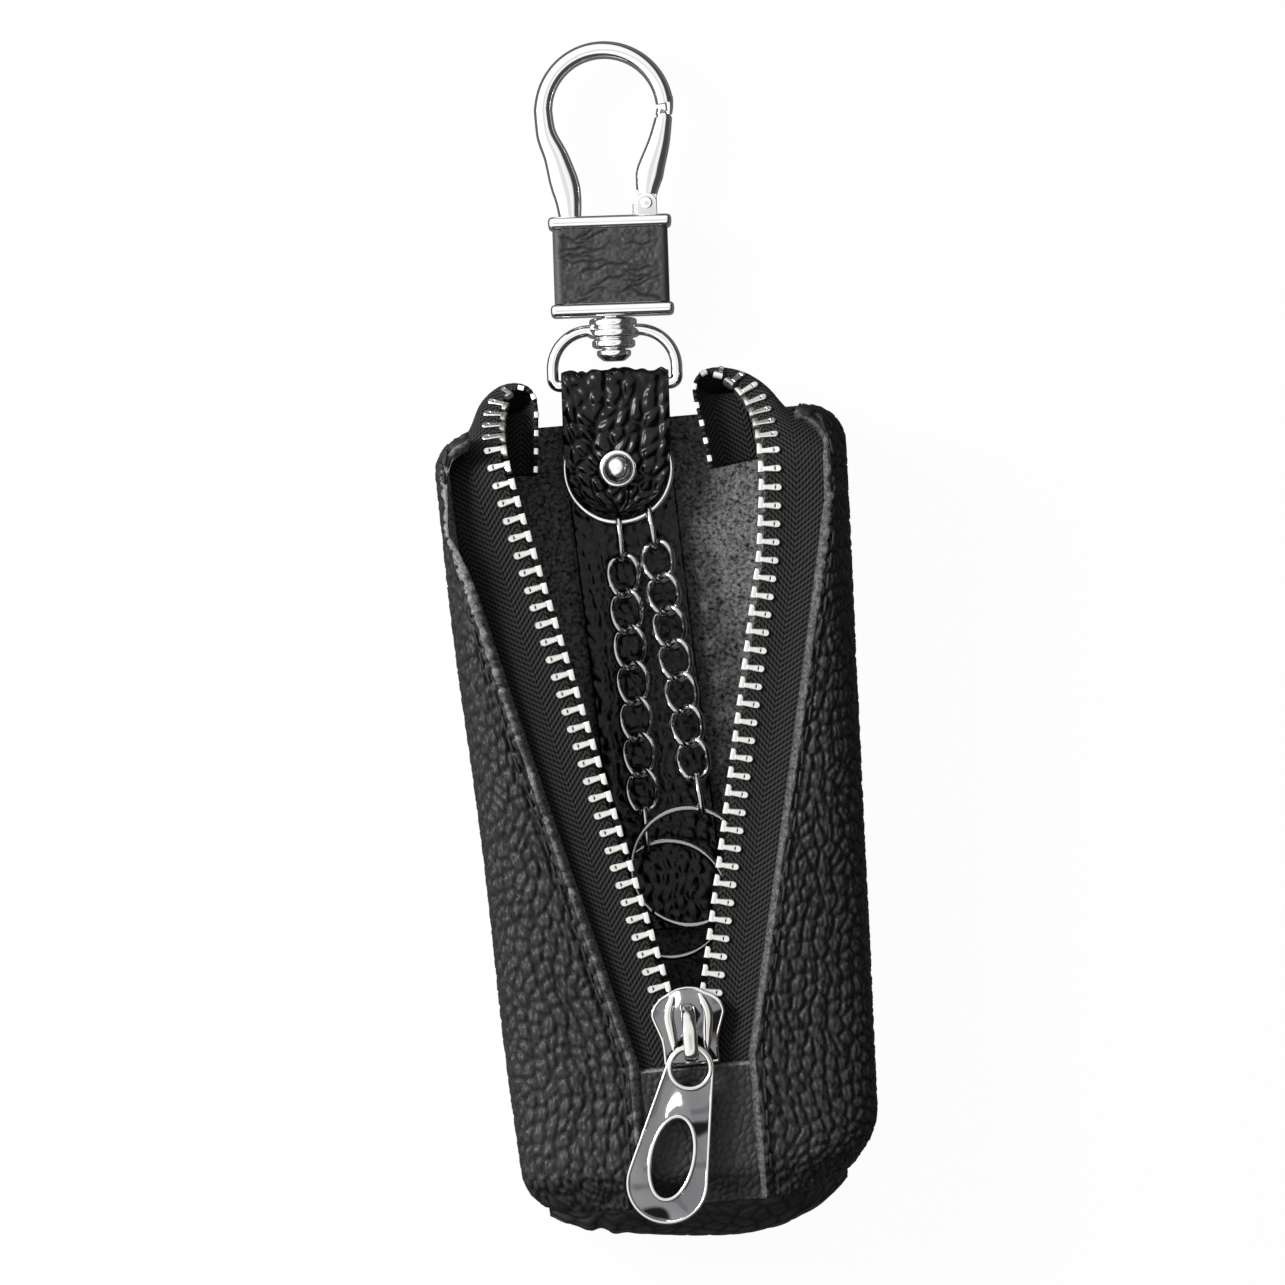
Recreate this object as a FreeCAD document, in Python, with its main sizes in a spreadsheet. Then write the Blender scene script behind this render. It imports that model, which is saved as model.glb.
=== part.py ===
import FreeCAD, Part
import math
import os
import re
import Sketcher

# A zip key case lying on its back: X across the pouch, Y along it towards the hook, Z up out of the zip side.
# The origin is on the resting face, half way along the pouch.

Vector = FreeCAD.Vector
Rotation = FreeCAD.Rotation
Placement = FreeCAD.Placement

doc = FreeCAD.newDocument("key_case")
sheet = doc.addObject("Spreadsheet::Sheet", "sizes")

SIZES = [
    # Pouch leather
    ("leather", 1.2),
    ("pouch_top", 54.4),
    ("pouch_foot", 50.3),
    ("half_width_top", 27.8),
    ("half_width_foot", 23.8),
    ("side_bulge", 1.2),
    ("shoulder_height", 17.5),
    ("front_height", 21.3),
    ("cut_edge_foot", 8.4),
    ("cut_edge_start", 31.0),
    ("cut_edge_top", 41.0),
    ("lip_width", 1.5),
    ("bottom_reach", 4.8),
    ("bottom_rim_height", 18.3),
    ("seam_gap", 0.3),
    ("end_panel_length", 18.0),
    ("end_panel_tuck", 1.0),
    ("end_panel_thickness", 0.8),
    ("end_panel_lift", 0.3),
    # Zip
    ("zip_height", 18.5),
    ("zip_foot", 30.6),
    ("row_offset", 1.5),
    ("row_angle", 12.27),
    ("row_length", 85.5),
    ("curl_radius", 5.5),
    ("curl_angle", 150.0),
    ("tape_thickness", 0.6),
    ("tape_width_foot", 9.2),
    ("tape_width_top", 6.6),
    ("tape_curl_width", 5.4),
    ("tape_tail", 7.0),
    ("tape_root", 0.6),
    ("tooth_pitch", 2.4),
    ("tooth_length", 3.6),
    ("tooth_width", 1.05),
    ("tooth_height", 2.0),
    ("tooth_head", 0.75),
    ("tooth_nib", 0.4),
    ("tooth_nib_back", 0.7),
    ("tooth_clearance", 0.05),
    ("stop_length", 1.6),
    # Slider and pull tab
    ("slider_length", 9.8),
    ("slider_wing", 5.0),
    ("slider_foot_width", 3.7),
    ("slider_crown", 2.6),
    ("slider_plate", 0.8),
    ("slider_gap", 0.25),
    ("slider_below", 1.0),
    ("wedge_width", 0.8),
    ("wedge_length", 2.4),
    ("bail_width", 1.9),
    ("bail_rise", 3.3),
    ("bail_bar", 0.8),
    ("bail_length", 7.4),
    ("bail_foot", 0.4),
    ("tab_length", 20.9),
    ("tab_eye_radius", 3.2),
    ("tab_eye_hole", 2.35),
    ("tab_foot_radius", 5.45),
    ("tab_window_length", 10.5),
    ("tab_window_width", 5.05),
    ("tab_window_place", 12.1),
    ("tab_thickness", 1.3),
    ("tab_lift", 0.2),
    ("tab_turn", 16.2),
    ("tab_shift", 0.45),
    ("tab_edge", 0.35),
    # Strap, stud and wire ring
    ("strap_x", -3.1),
    ("strap_y", 47.8),
    ("strap_turn", -3.0),
    ("strap_leather", 1.1),
    ("strap_half_width", 7.2),
    ("strap_end_radius", 7.0),
    ("strap_end", 5.9),
    ("tail_half_width", 7.1),
    ("tail_length", 62.0),
    ("tail_shift", 2.4),
    ("layer_gap", 0.15),
    ("rivet_base", 0.5),
    ("rivet_base_radius", 2.5),
    ("stud_post_radius", 1.1),
    ("stud_flange_radius", 2.5),
    ("stud_flange", 0.6),
    ("stud_ball_radius", 1.85),
    ("stud_clearance", 0.05),
    ("wire_ring_radius", 7.08),
    ("wire_ring_wire", 0.37),
    # Chains and key rings
    ("left_links", 9),
    ("left_ring_angle", -91.0),
    ("left_key_x", -1.2),
    ("left_key_y", -10.1),
    ("left_key_height", 5.6),
    ("right_links", 9),
    ("right_ring_angle", -56.0),
    ("right_key_x", 1.9),
    ("right_key_y", -5.9),
    ("right_key_height", 9.3),
    ("key_link_lean", 17.0),
    ("upper_links", 3),
    ("middle_links", 3),
    ("link_half_width", 2.0),
    ("link_twist", 0.98),
    ("link_wire", 0.36),
    ("link_slack", 0.16),
    ("key_slack", 0.3),
    ("top_link_half_width", 1.65),
    ("key_link_half_width", 2.25),
    ("key_ring_radius", 7.8),
    ("key_ring_wire", 0.4),
    ("key_ring_gap", 0.1),
    # D-ring and swivel
    ("dring_wire", 0.8),
    ("dring_half_width", 8.3),
    ("dring_bar", 11.3),
    ("dring_top", 18.6),
    ("dring_corner", 0.95),
    ("dring_shoulder", 5.1),
    ("fold_room", 0.5),
    ("fold_gap", 0.1),
    ("collar_radius", 3.5),
    ("collar_step_radius", 2.9),
    ("collar_step", 0.9),
    ("collar_length", 4.2),
    ("post_radius", 1.5),
    ("post_clearance", 0.05),
    ("button_radius", 2.3),
    ("button_length", 1.5),
    ("swivel_gap", 0.15),
    ("post_grip", 2.6),
    # Hook frame
    ("bar_half_width", 8.25),
    ("bar_length", 1.7),
    ("bar_depth", 7.4),
    ("bar_corner", 0.8),
    ("band_length", 10.0),
    ("band_half_width", 7.7),
    ("band_depth", 6.8),
    ("band_leather", 1.0),
    ("band_clearance", 0.05),
    # Bow and gate
    ("bow_radius", 8.15),
    ("bow_wire", 1.2),
    ("bow_x", -0.25),
    ("bow_height", 14.1),
    ("bow_leg_radius", 16.0),
    ("bow_leg_drop", 9.5),
    ("bow_foot_radius", 1.7),
    ("bow_nose_angle", 5.6),
    ("gate_x", 5.0),
    ("gate_pivot", 1.6),
    ("gate_heel_radius", 1.4),
    ("gate_body_start", 1.75),
    ("gate_length", 12.5),
    ("gate_lean", 2.9),
    ("gate_tip_half_width", 1.15),
    ("gate_half_thickness", 1.15),
    ("gate_tongue_half", 0.6),
    ("cheek_gap", 0.1),
    ("cheek_thickness", 0.7),
    ("gate_pin_radius", 0.5),
    ("gate_pin_clearance", 0.03),
    ("leaf_thickness", 0.22),
    ("leaf_height", 1.5),
]

for row, (name, value) in enumerate(SIZES, 1):
    sheet.set("A%d" % row, name)
    sheet.set("B%d" % row, "%g" % value)
    sheet.setAlias("B%d" % row, name)
doc.recompute()

NAMES = [name for name, _ in SIZES]
WORD = re.compile(r"[a-z_]+")
nodes = []


def cells(text):
    return WORD.sub(lambda m: "sizes." + m.group() if m.group() in NAMES else m.group(), text)


def size(text):
    return float(sheet.evalExpression(cells(text)))


def bind(item, prop, text):
    item.setExpression(prop, cells(text))


def new_body(label):
    body = doc.addObject("PartDesign::Body", label)
    body.Label = label
    nodes.append(body)
    return body


def new_shape(label, shape, place=None):
    item = doc.addObject("Part::Feature", label)
    item.Label = label
    item.Shape = shape
    if place:
        item.Placement = place
    nodes.append(item)
    return item


def new_sketch(body, role, offset="0"):
    plane = next(f for f in body.Origin.OriginFeatures if f.Role == role)
    sketch = body.newObject("Sketcher::SketchObject", body.Label + "_sketch")
    sketch.AttachmentSupport = [(plane, "")]
    sketch.MapMode = "FlatFace"
    if offset != "0":
        bind(sketch, "AttachmentOffset.Base.z", offset)
    return sketch


def hold_point(sketch, edge, end, x, y):
    for kind, axis, text in (("DistanceX", -2, x), ("DistanceY", -1, y)):
        if text == "0":
            sketch.addConstraint(Sketcher.Constraint("PointOnObject", edge, end, axis))
        else:
            n = sketch.addConstraint(Sketcher.Constraint(kind, -1, 1, edge, end, size(text)))
            bind(sketch, "Constraints[%d]" % n, text)


def arc_between(a, b, radius, turn):
    # The shorter arc from a to b: turn 1 runs counter-clockwise, -1 clockwise.
    chord = b - a
    reach = math.sqrt(max(radius ** 2 - (chord.Length / 2) ** 2, 0.0))
    normal = Vector(-chord.y, chord.x, 0).normalize()
    centre = (a + b) * 0.5 + normal * reach * turn
    first, last = (a, b) if turn > 0 else (b, a)
    start = math.atan2(first.y - centre.y, first.x - centre.x)
    stop = math.atan2(last.y - centre.y, last.x - centre.x)
    return Part.ArcOfCircle(Part.Circle(centre, Vector(0, 0, 1), radius), start, stop)


def outline(sketch, corners, closed=True):
    # Corners are (x, y), or (x, y, radius, turn) where an arc runs on to the next corner.
    points = [Vector(size(c[0]), size(c[1]), 0) for c in corners]
    count = len(corners) if closed else len(corners) - 1
    ends = []
    for i in range(count):
        corner = corners[i]
        a, b = points[i], points[(i + 1) % len(points)]
        if len(corner) == 2:
            edge = sketch.addGeometry(Part.LineSegment(a, b))
            ends.append((edge, 1, 2))
            continue
        edge = sketch.addGeometry(arc_between(a, b, size(corner[2]), corner[3]))
        n = sketch.addConstraint(Sketcher.Constraint("Radius", edge, size(corner[2])))
        bind(sketch, "Constraints[%d]" % n, corner[2])
        ends.append((edge, 1, 2) if corner[3] > 0 else (edge, 2, 1))
    for i in range(count if closed else count - 1):
        this, following = ends[i], ends[(i + 1) % count]
        sketch.addConstraint(Sketcher.Constraint("Coincident", this[0], this[2], following[0], following[1]))
    for i in range(count):
        hold_point(sketch, ends[i][0], ends[i][1], corners[i][0], corners[i][1])
    if not closed:
        hold_point(sketch, ends[-1][0], ends[-1][2], corners[-1][0], corners[-1][1])


def circle(sketch, x, y, radius):
    place = Vector(size(x), size(y), 0)
    edge = sketch.addGeometry(Part.Circle(place, Vector(0, 0, 1), size(radius)))
    hold_point(sketch, edge, 3, x, y)
    n = sketch.addConstraint(Sketcher.Constraint("Radius", edge, size(radius)))
    bind(sketch, "Constraints[%d]" % n, radius)


def box_corners(left, right, low, high):
    return [(left, low), (right, low), (right, high), (left, high)]


def rounded_box(left, right, low, high, radius):
    return [
        ("%s + %s" % (left, radius), low), ("%s - %s" % (right, radius), low, radius, 1),
        (right, "%s + %s" % (low, radius)), (right, "%s - %s" % (high, radius), radius, 1),
        ("%s - %s" % (right, radius), high), ("%s + %s" % (left, radius), high, radius, 1),
        (left, "%s - %s" % (high, radius)), (left, "%s + %s" % (low, radius), radius, 1),
    ]


def extrude(body, kind, sketch, length, flip=False):
    feature = body.newObject("PartDesign::" + kind, body.Label + "_" + kind.lower())
    feature.Profile = sketch
    bind(feature, "Length", length)
    feature.Reversed = flip
    return feature


def revolve(body, kind, sketch):
    feature = body.newObject("PartDesign::" + kind, body.Label + "_" + kind.lower())
    feature.Profile = sketch
    feature.ReferenceAxis = (sketch, ["V_Axis"])
    feature.Angle = 360
    return feature


def pipe(body, profile, spine):
    feature = body.newObject("PartDesign::AdditivePipe", body.Label + "_pipe")
    feature.Profile = profile
    feature.Spine = (spine, [])
    return feature


def round_edges(body, base, faces, radius):
    doc.recompute()
    feature = body.newObject("PartDesign::Fillet", body.Label + "_fillet")
    feature.Base = (base, faces)
    bind(feature, "Radius", radius)
    return feature


def faces_at(feature, height):
    doc.recompute()
    found = []
    for i, face in enumerate(feature.Shape.Faces, 1):
        box = face.BoundBox
        if abs(box.ZMin - height) < 1e-4 and abs(box.ZMax - height) < 1e-4:
            found.append("Face%d" % i)
    return found


def band_section(outer, inner):
    # A closed wire of arcs: each list holds end, middle, end points along one face of the leather.
    edges = []
    for run in (outer, inner):
        for i in range(0, len(run) - 2, 2):
            edges.append(Part.Arc(run[i], run[i + 1], run[i + 2]).toShape())
    edges.insert(len(outer) // 2, Part.makeLine(outer[-1], inner[0]))
    edges.append(Part.makeLine(inner[-1], outer[0]))
    return Part.Wire(edges)


# Pouch leather

def half_width(y):
    share = (y + size("pouch_foot")) / size("pouch_foot + pouch_top")
    return size("half_width_foot") + share * size("half_width_top - half_width_foot")


def cut_edge(y):
    # How far the raw edge beside the zip is from the middle: steady at the foot, then opening to the top.
    top = half_width(size("cut_edge_top")) - size("lip_width")
    run = size("cut_edge_top + cut_edge_start")
    share = min(max((y + size("cut_edge_start")) / run, 0.0), 1.0)
    widest = half_width(y) - size("lip_width")
    return min(size("cut_edge_foot") + share * (top - size("cut_edge_foot")), widest)


def make_back_panel():
    body = new_body("back_panel")
    sketch = new_sketch(body, "XY_Plane")
    foot = "(half_width_foot - side_bulge)"
    top = "(half_width_top - side_bulge)"
    reach = "(bottom_reach - leather)"
    radius = "(%s * %s + %s * %s) / (2 * %s)" % (foot, foot, reach, reach, reach)
    outline(sketch, [
        ("-" + foot, "-pouch_foot", radius, 1),
        (foot, "-pouch_foot"),
        (top, "pouch_top"),
        ("-" + top, "pouch_top"),
    ])
    extrude(body, "Pad", sketch, "leather")


def side_section(side, y):
    thick = size("leather")
    wide = half_width(y)
    foot = wide - size("side_bulge")
    middle = size("shoulder_height") / 2
    shoulder = size("shoulder_height")
    front = size("front_height")
    edge = cut_edge(y)

    def at(x, z):
        return Vector(side * x, y, z)

    bend = 0.45 * edge + 0.55 * foot
    crown = 0.25 * shoulder + 0.75 * front
    outer = [at(foot, thick), at(wide, middle), at(foot, shoulder), at(bend, crown), at(edge, front)]
    inner = [
        at(edge, front - thick), at(bend - 0.2 * thick, crown - thick),
        at(foot - thick, shoulder - 0.5 * thick), at(wide - thick, middle), at(foot - thick, thick),
    ]
    return band_section(outer, inner)


def make_side_panel(label, side):
    stations = [size(t) for t in (
        "pouch_top - leather", "cut_edge_top", "cut_edge_top / 2", "0", "-cut_edge_start / 2",
        "-cut_edge_start", "-cut_edge_start - 8", "-pouch_foot")]
    sections = [side_section(side, y) for y in stations]
    new_shape(label, Part.makeLoft(sections, True, True))


def make_bottom_panel():
    thick = size("leather")
    start = -size("pouch_foot + seam_gap")

    def section(height, half, reach):
        outer = [Vector(-half, start, height), Vector(0, start - reach, height), Vector(half, start, height)]
        inner = [Vector(half - thick, start, height), Vector(0, start - reach + thick, height),
                 Vector(thick - half, start, height)]
        return band_section(outer, inner)

    wide = size("half_width_foot")
    reach = size("bottom_reach")
    sections = [
        section(thick, wide - size("side_bulge"), reach - thick - size("seam_gap")),
        section(size("bottom_rim_height") * 0.4, wide, reach),
        section(size("bottom_rim_height"), wide - 2 * thick, 1.5 * thick),
    ]
    new_shape("bottom_panel", Part.makeLoft(sections, True, True))


def make_end_panel():
    body = new_body("zip_end_panel")
    sketch = new_sketch(body, "XY_Plane", "zip_height + tape_thickness / 2 + end_panel_lift")
    half = "(cut_edge_foot + end_panel_tuck)"
    outline(sketch, box_corners("-" + half, half, "-pouch_foot", "end_panel_length - pouch_foot"))
    extrude(body, "Pad", sketch, "end_panel_thickness")


# Zip

def row_place(side):
    angle = -side * size("row_angle")
    foot = Vector(side * size("row_offset"), -size("zip_foot"), size("zip_height"))
    return Placement(foot, Rotation(Vector(0, 0, 1), angle))


def make_tape(label, side):
    out = "%d * " % side
    body = new_body(label)
    sketch = new_sketch(body, "XY_Plane", "-tape_thickness / 2")
    outline(sketch, [
        (out + "tape_root", "-tape_tail"),
        (out + "tape_width_foot", "-tape_tail"),
        (out + "tape_width_foot", "tooth_pitch"),
        (out + "tape_width_top", "row_length - 3 * tooth_pitch"),
        (out + "tape_curl_width", "row_length"),
        (out + "tape_root", "row_length"),
    ])
    extrude(body, "Pad", sketch, "tape_thickness")
    profile = new_sketch(body, "XZ_Plane", "-row_length")
    half = "tape_thickness / 2"
    outline(profile, box_corners(out + "tape_root", out + "tape_curl_width", "-" + half, half))
    spine = new_sketch(body, "YZ_Plane")
    outline(spine, [
        ("row_length", "0", "curl_radius", -1),
        ("row_length + curl_radius * sin(curl_angle)", "curl_radius * (cos(curl_angle) - 1)"),
    ], closed=False)
    pipe(body, profile, spine)
    body.Placement = row_place(side)


def make_tooth():
    body = doc.addObject("PartDesign::Body", "tooth")
    body.Label = "tooth"
    half = "tooth_length / 2"
    tall = "tooth_height / 2"
    slot = "tape_thickness / 2 + tooth_clearance"
    root = "tooth_clearance - tape_root"
    bevel = "tooth_height / 4"
    sketch = new_sketch(body, "XZ_Plane", "-tooth_width / 2")
    outline(sketch, [
        ("-" + half, slot), ("-" + half, tall),
        (half + " - " + bevel, tall), (half, tall + " - " + bevel),
        (half, bevel + " - " + tall), (half + " - " + bevel, "-" + tall),
        ("-" + half, "-" + tall), ("-" + half, "-(" + slot + ")"),
        (root, "-(" + slot + ")"), (root, slot),
    ])
    extrude(body, "Pad", sketch, "tooth_width")
    nib = new_sketch(body, "XY_Plane", "-0.4 * tooth_height")
    tip = half + " - tooth_nib_back"
    outline(nib, box_corners(tip + " - tooth_head", tip, "0", "tooth_width / 2 + tooth_nib"))
    extrude(body, "Pad", nib, "0.8 * tooth_height")
    doc.recompute()
    return body.Shape


def make_teeth(label, side, tooth):
    # Teeth stand at one pitch along the row and on round its curl; the two rows are half a pitch out of step.
    pitch = size("tooth_pitch")
    straight = size("row_length")
    radius = size("curl_radius")
    whole = straight + radius * math.radians(size("curl_angle"))
    turned = Placement(Vector(), Rotation(Vector(0, 0, 1), 0 if side < 0 else 180))
    along = pitch if side < 0 else 1.5 * pitch
    teeth = []
    while along < whole - pitch / 2:
        if along <= straight:
            place = Placement(Vector(0, along, 0), Rotation())
        else:
            bend = math.degrees((along - straight) / radius)
            spot = Vector(0, straight + radius * math.sin(math.radians(bend)),
                          radius * (math.cos(math.radians(bend)) - 1))
            place = Placement(spot, Rotation(Vector(1, 0, 0), -bend))
        one = tooth.copy()
        one.Placement = row_place(side) * place * turned
        teeth.append(one)
        along += pitch
    new_shape(label, Part.makeCompound(teeth))


def make_bottom_stop():
    body = new_body("bottom_stop")
    sketch = new_sketch(body, "XY_Plane", "zip_height - tape_thickness / 2 - tooth_clearance - slider_plate")
    half = "(row_offset + tape_root + tooth_length / 4)"
    top = "-(zip_foot + slider_below + seam_gap / 2)"
    outline(sketch, box_corners("-" + half, half, top + " - stop_length", top))
    extrude(body, "Pad", sketch, "slider_plate")


def slider_place():
    return Placement(Vector(0, -size("zip_foot + slider_below"), size("zip_height")), Rotation())


def make_slider():
    body = new_body("slider_body")
    crown = "(slider_length - slider_crown / 4)"
    shield = [
        ("-slider_foot_width", "0"), ("slider_foot_width", "0"),
        ("slider_foot_width", "0.22 * slider_length"), ("slider_wing", "0.66 * slider_length"),
        ("slider_wing", "0.76 * slider_length"), ("slider_crown", crown, "1.5 * slider_crown", 1),
        ("-slider_crown", crown), ("-slider_wing", "0.76 * slider_length"),
        ("-slider_wing", "0.66 * slider_length"), ("-slider_foot_width", "0.22 * slider_length"),
    ]
    room = "(tooth_height / 2 + slider_gap)"
    lower = new_sketch(body, "XY_Plane", "-%s - slider_plate" % room)
    outline(lower, shield)
    extrude(body, "Pad", lower, "slider_plate")
    wedge = new_sketch(body, "XY_Plane", "-" + room)
    top = "(slider_length - 0.6)"
    outline(wedge, [
        ("0", top + " - wedge_length"), ("wedge_width", top + " - wedge_length / 2"),
        ("wedge_width", top), ("-wedge_width", top), ("-wedge_width", top + " - wedge_length / 2"),
    ])
    extrude(body, "Pad", wedge, "2 * " + room)
    upper = new_sketch(body, "XY_Plane", room)
    outline(upper, shield)
    plate = extrude(body, "Pad", upper, "slider_plate")
    top_height = size(room + " + slider_plate")
    round_edges(body, plate, faces_at(plate, top_height), "0.25 * slider_plate")
    body.Placement = slider_place()


def make_bail():
    body = new_body("slider_bail")
    low = "(tooth_height / 2 + slider_gap + slider_plate)"
    high = "(%s + bail_rise)" % low
    start = "bail_foot"
    stop = "(bail_foot + bail_length)"
    sketch = new_sketch(body, "YZ_Plane", "-bail_width / 2")
    outline(sketch, [
        (start, low), (start + " + bail_bar", low),
        (start + " + bail_bar", high + " - 2 * bail_bar"),
        (start + " + 1.6 * bail_bar", high + " - bail_bar"),
        (stop + " - 0.45 * bail_length", high + " - bail_bar"),
        (stop + " - bail_bar", high + " - 0.75 * bail_rise"), (stop + " - bail_bar", low),
        (stop, low), (stop, high + " - 0.7 * bail_rise"),
        (stop + " - 0.4 * bail_length", high),
        (start + " + 1.2 * bail_bar", high), (start, high + " - 1.2 * bail_bar"),
    ])
    extrude(body, "Pad", sketch, "bail_width")
    body.Placement = slider_place()


def make_tab():
    body = new_body("pull_tab")
    run = "(tab_length - tab_foot_radius)"
    rise = "((tab_foot_radius - tab_eye_radius) / %s)" % run
    flat = "sqrt(1 - %s * %s)" % (rise, rise)
    sketch = new_sketch(body, "XY_Plane")
    outline(sketch, [
        ("tab_eye_radius * " + flat, "tab_eye_radius * " + rise, "tab_eye_radius", 1),
        ("-tab_eye_radius * " + flat, "tab_eye_radius * " + rise),
        ("-tab_foot_radius * " + flat, "tab_foot_radius * %s - %s" % (rise, run), "tab_foot_radius", 1),
        ("0", "-tab_length", "tab_foot_radius", 1),
        ("tab_foot_radius * " + flat, "tab_foot_radius * %s - %s" % (rise, run)),
    ])
    plate = extrude(body, "Pad", sketch, "tab_thickness")
    round_edges(body, plate, faces_at(plate, size("tab_thickness")), "tab_edge")
    eye = new_sketch(body, "XY_Plane")
    circle(eye, "0", "0", "tab_eye_hole")
    extrude(body, "Pocket", eye, "2 * tab_thickness", flip=True)
    window = new_sketch(body, "XY_Plane")
    centre = Vector(0, -size("tab_window_place"), 0)
    far = centre + Vector(0, size("tab_window_length / 2"), 0)
    near = centre + Vector(size("tab_window_width / 2"), 0, 0)
    window.addGeometry(Part.Ellipse(far, near, centre))
    extrude(body, "Pocket", window, "2 * tab_thickness", flip=True)
    reach = size("tab_eye_hole + tab_eye_radius") / 2
    turn = Rotation(Vector(0, 0, 1), -size("tab_turn"))
    hang = Vector(size("tab_shift"), size("bail_foot + 2.25 * bail_bar - zip_foot - slider_below"), 0)
    eye_place = hang - turn.multVec(Vector(0, reach, 0))
    eye_place.z = size("front_height + tab_lift")
    body.Placement = Placement(eye_place, turn)


# Strap, stud and wire ring: the strap's own frame has its origin at the stud and runs up to the hook.

TAIL_HEIGHT = "(leather + rivet_base + tooth_clearance)"
REAR_HEIGHT = "(%s + strap_leather + layer_gap)" % TAIL_HEIGHT
FOLD_HALF = "(dring_wire + fold_gap)"
BAR_HEIGHT = "(%s + strap_leather + %s)" % (REAR_HEIGHT, FOLD_HALF)
STRAP_TOP = "(%s + %s + strap_leather)" % (BAR_HEIGHT, FOLD_HALF)


def strap_place(height="0"):
    return Placement(Vector(size("strap_x"), size("strap_y"), size(height)),
                     Rotation(Vector(0, 0, 1), size("strap_turn")))


def make_strap():
    body = new_body("strap")
    fold = "(dring_bar + dring_wire + fold_room - %s)" % FOLD_HALF
    outer = "(%s + strap_leather)" % FOLD_HALF
    front = "(%s + %s)" % (BAR_HEIGHT, FOLD_HALF)
    rear = "(%s - %s)" % (BAR_HEIGHT, FOLD_HALF)
    sketch = new_sketch(body, "YZ_Plane", "-strap_half_width")
    outline(sketch, [
        ("-strap_end", REAR_HEIGHT), (fold, REAR_HEIGHT, outer, 1),
        ("%s + %s" % (fold, outer), BAR_HEIGHT, outer, 1), (fold, STRAP_TOP),
        ("-strap_end", STRAP_TOP), ("-strap_end", front), (fold, front, FOLD_HALF, -1),
        ("%s + %s" % (fold, FOLD_HALF), BAR_HEIGHT, FOLD_HALF, -1), (fold, rear), ("-strap_end", rear),
    ])
    extrude(body, "Pad", sketch, "2 * strap_half_width")
    end = new_sketch(body, "XY_Plane")
    start = "strap_end_radius - strap_end"
    wide = "(strap_half_width + 1)"
    low = "-(strap_end + 1)"
    outline(end, [
        ("-strap_end_radius", start, "strap_end_radius", 1), ("0", "-strap_end", "strap_end_radius", 1),
        ("strap_end_radius", start), (wide, start), (wide, low), ("-" + wide, low), ("-" + wide, start),
    ])
    extrude(body, "Pocket", end, "2 * " + STRAP_TOP, flip=True)
    hole = new_sketch(body, "XY_Plane")
    circle(hole, "0", "0", "stud_post_radius + stud_clearance")
    extrude(body, "Pocket", hole, "2 * " + STRAP_TOP, flip=True)
    body.Placement = strap_place()


def make_tail():
    body = new_body("strap_tail")
    sketch = new_sketch(body, "XY_Plane", TAIL_HEIGHT)
    outline(sketch, [
        ("tail_shift - tail_half_width", "-tail_length"), ("tail_shift + tail_half_width", "-tail_length"),
        ("tail_half_width", "strap_end"), ("-tail_half_width", "strap_end"),
    ])
    circle(sketch, "0", "0", "stud_post_radius + stud_clearance")
    extrude(body, "Pad", sketch, "strap_leather")
    body.Placement = Placement(Vector(size("strap_x"), size("strap_y"), 0), Rotation())


def make_rivet_base():
    base = doc.addObject("Part::Cylinder", "rivet_base")
    base.Label = "rivet_base"
    bind(base, "Radius", "rivet_base_radius")
    bind(base, "Height", "rivet_base")
    base.Placement = strap_place("leather")
    nodes.append(base)


def make_stud():
    body = new_body("ball_stud")
    ball = "(%s + stud_flange + 0.8 * stud_ball_radius)" % STRAP_TOP
    neck = "0.65 * stud_ball_radius"
    sketch = new_sketch(body, "XZ_Plane")
    outline(sketch, [
        ("0", "leather + rivet_base"), ("stud_post_radius", "leather + rivet_base"),
        ("stud_post_radius", STRAP_TOP), ("stud_flange_radius", STRAP_TOP),
        ("stud_flange_radius", STRAP_TOP + " + 0.5 * stud_flange"),
        (neck, ball + " - 0.76 * stud_ball_radius", "stud_ball_radius", 1),
        ("stud_ball_radius", ball, "stud_ball_radius", 1),
        ("0", ball + " + stud_ball_radius"),
    ])
    revolve(body, "Revolution", sketch)
    body.Placement = strap_place()


def make_wire_ring():
    ring = doc.addObject("Part::Torus", "wire_ring")
    ring.Label = "wire_ring"
    bind(ring, "Radius1", "wire_ring_radius")
    bind(ring, "Radius2", "wire_ring_wire")
    ring.Placement = strap_place(BAR_HEIGHT)
    nodes.append(ring)


# D-ring, swivel and hook: same frame as the strap, at the height of the D-ring's bar.

COLLAR_TOP = "(dring_top + 0.4 * collar_length)"
FRAME_START = "(%s + swivel_gap)" % COLLAR_TOP
BAND_START = "(%s + bar_length)" % FRAME_START
BAND_END = "(%s + band_length)" % BAND_START
FRAME_END = "(%s + bar_length)" % BAND_END
GATE_PIVOT = "(%s + gate_pivot)" % FRAME_END


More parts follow.
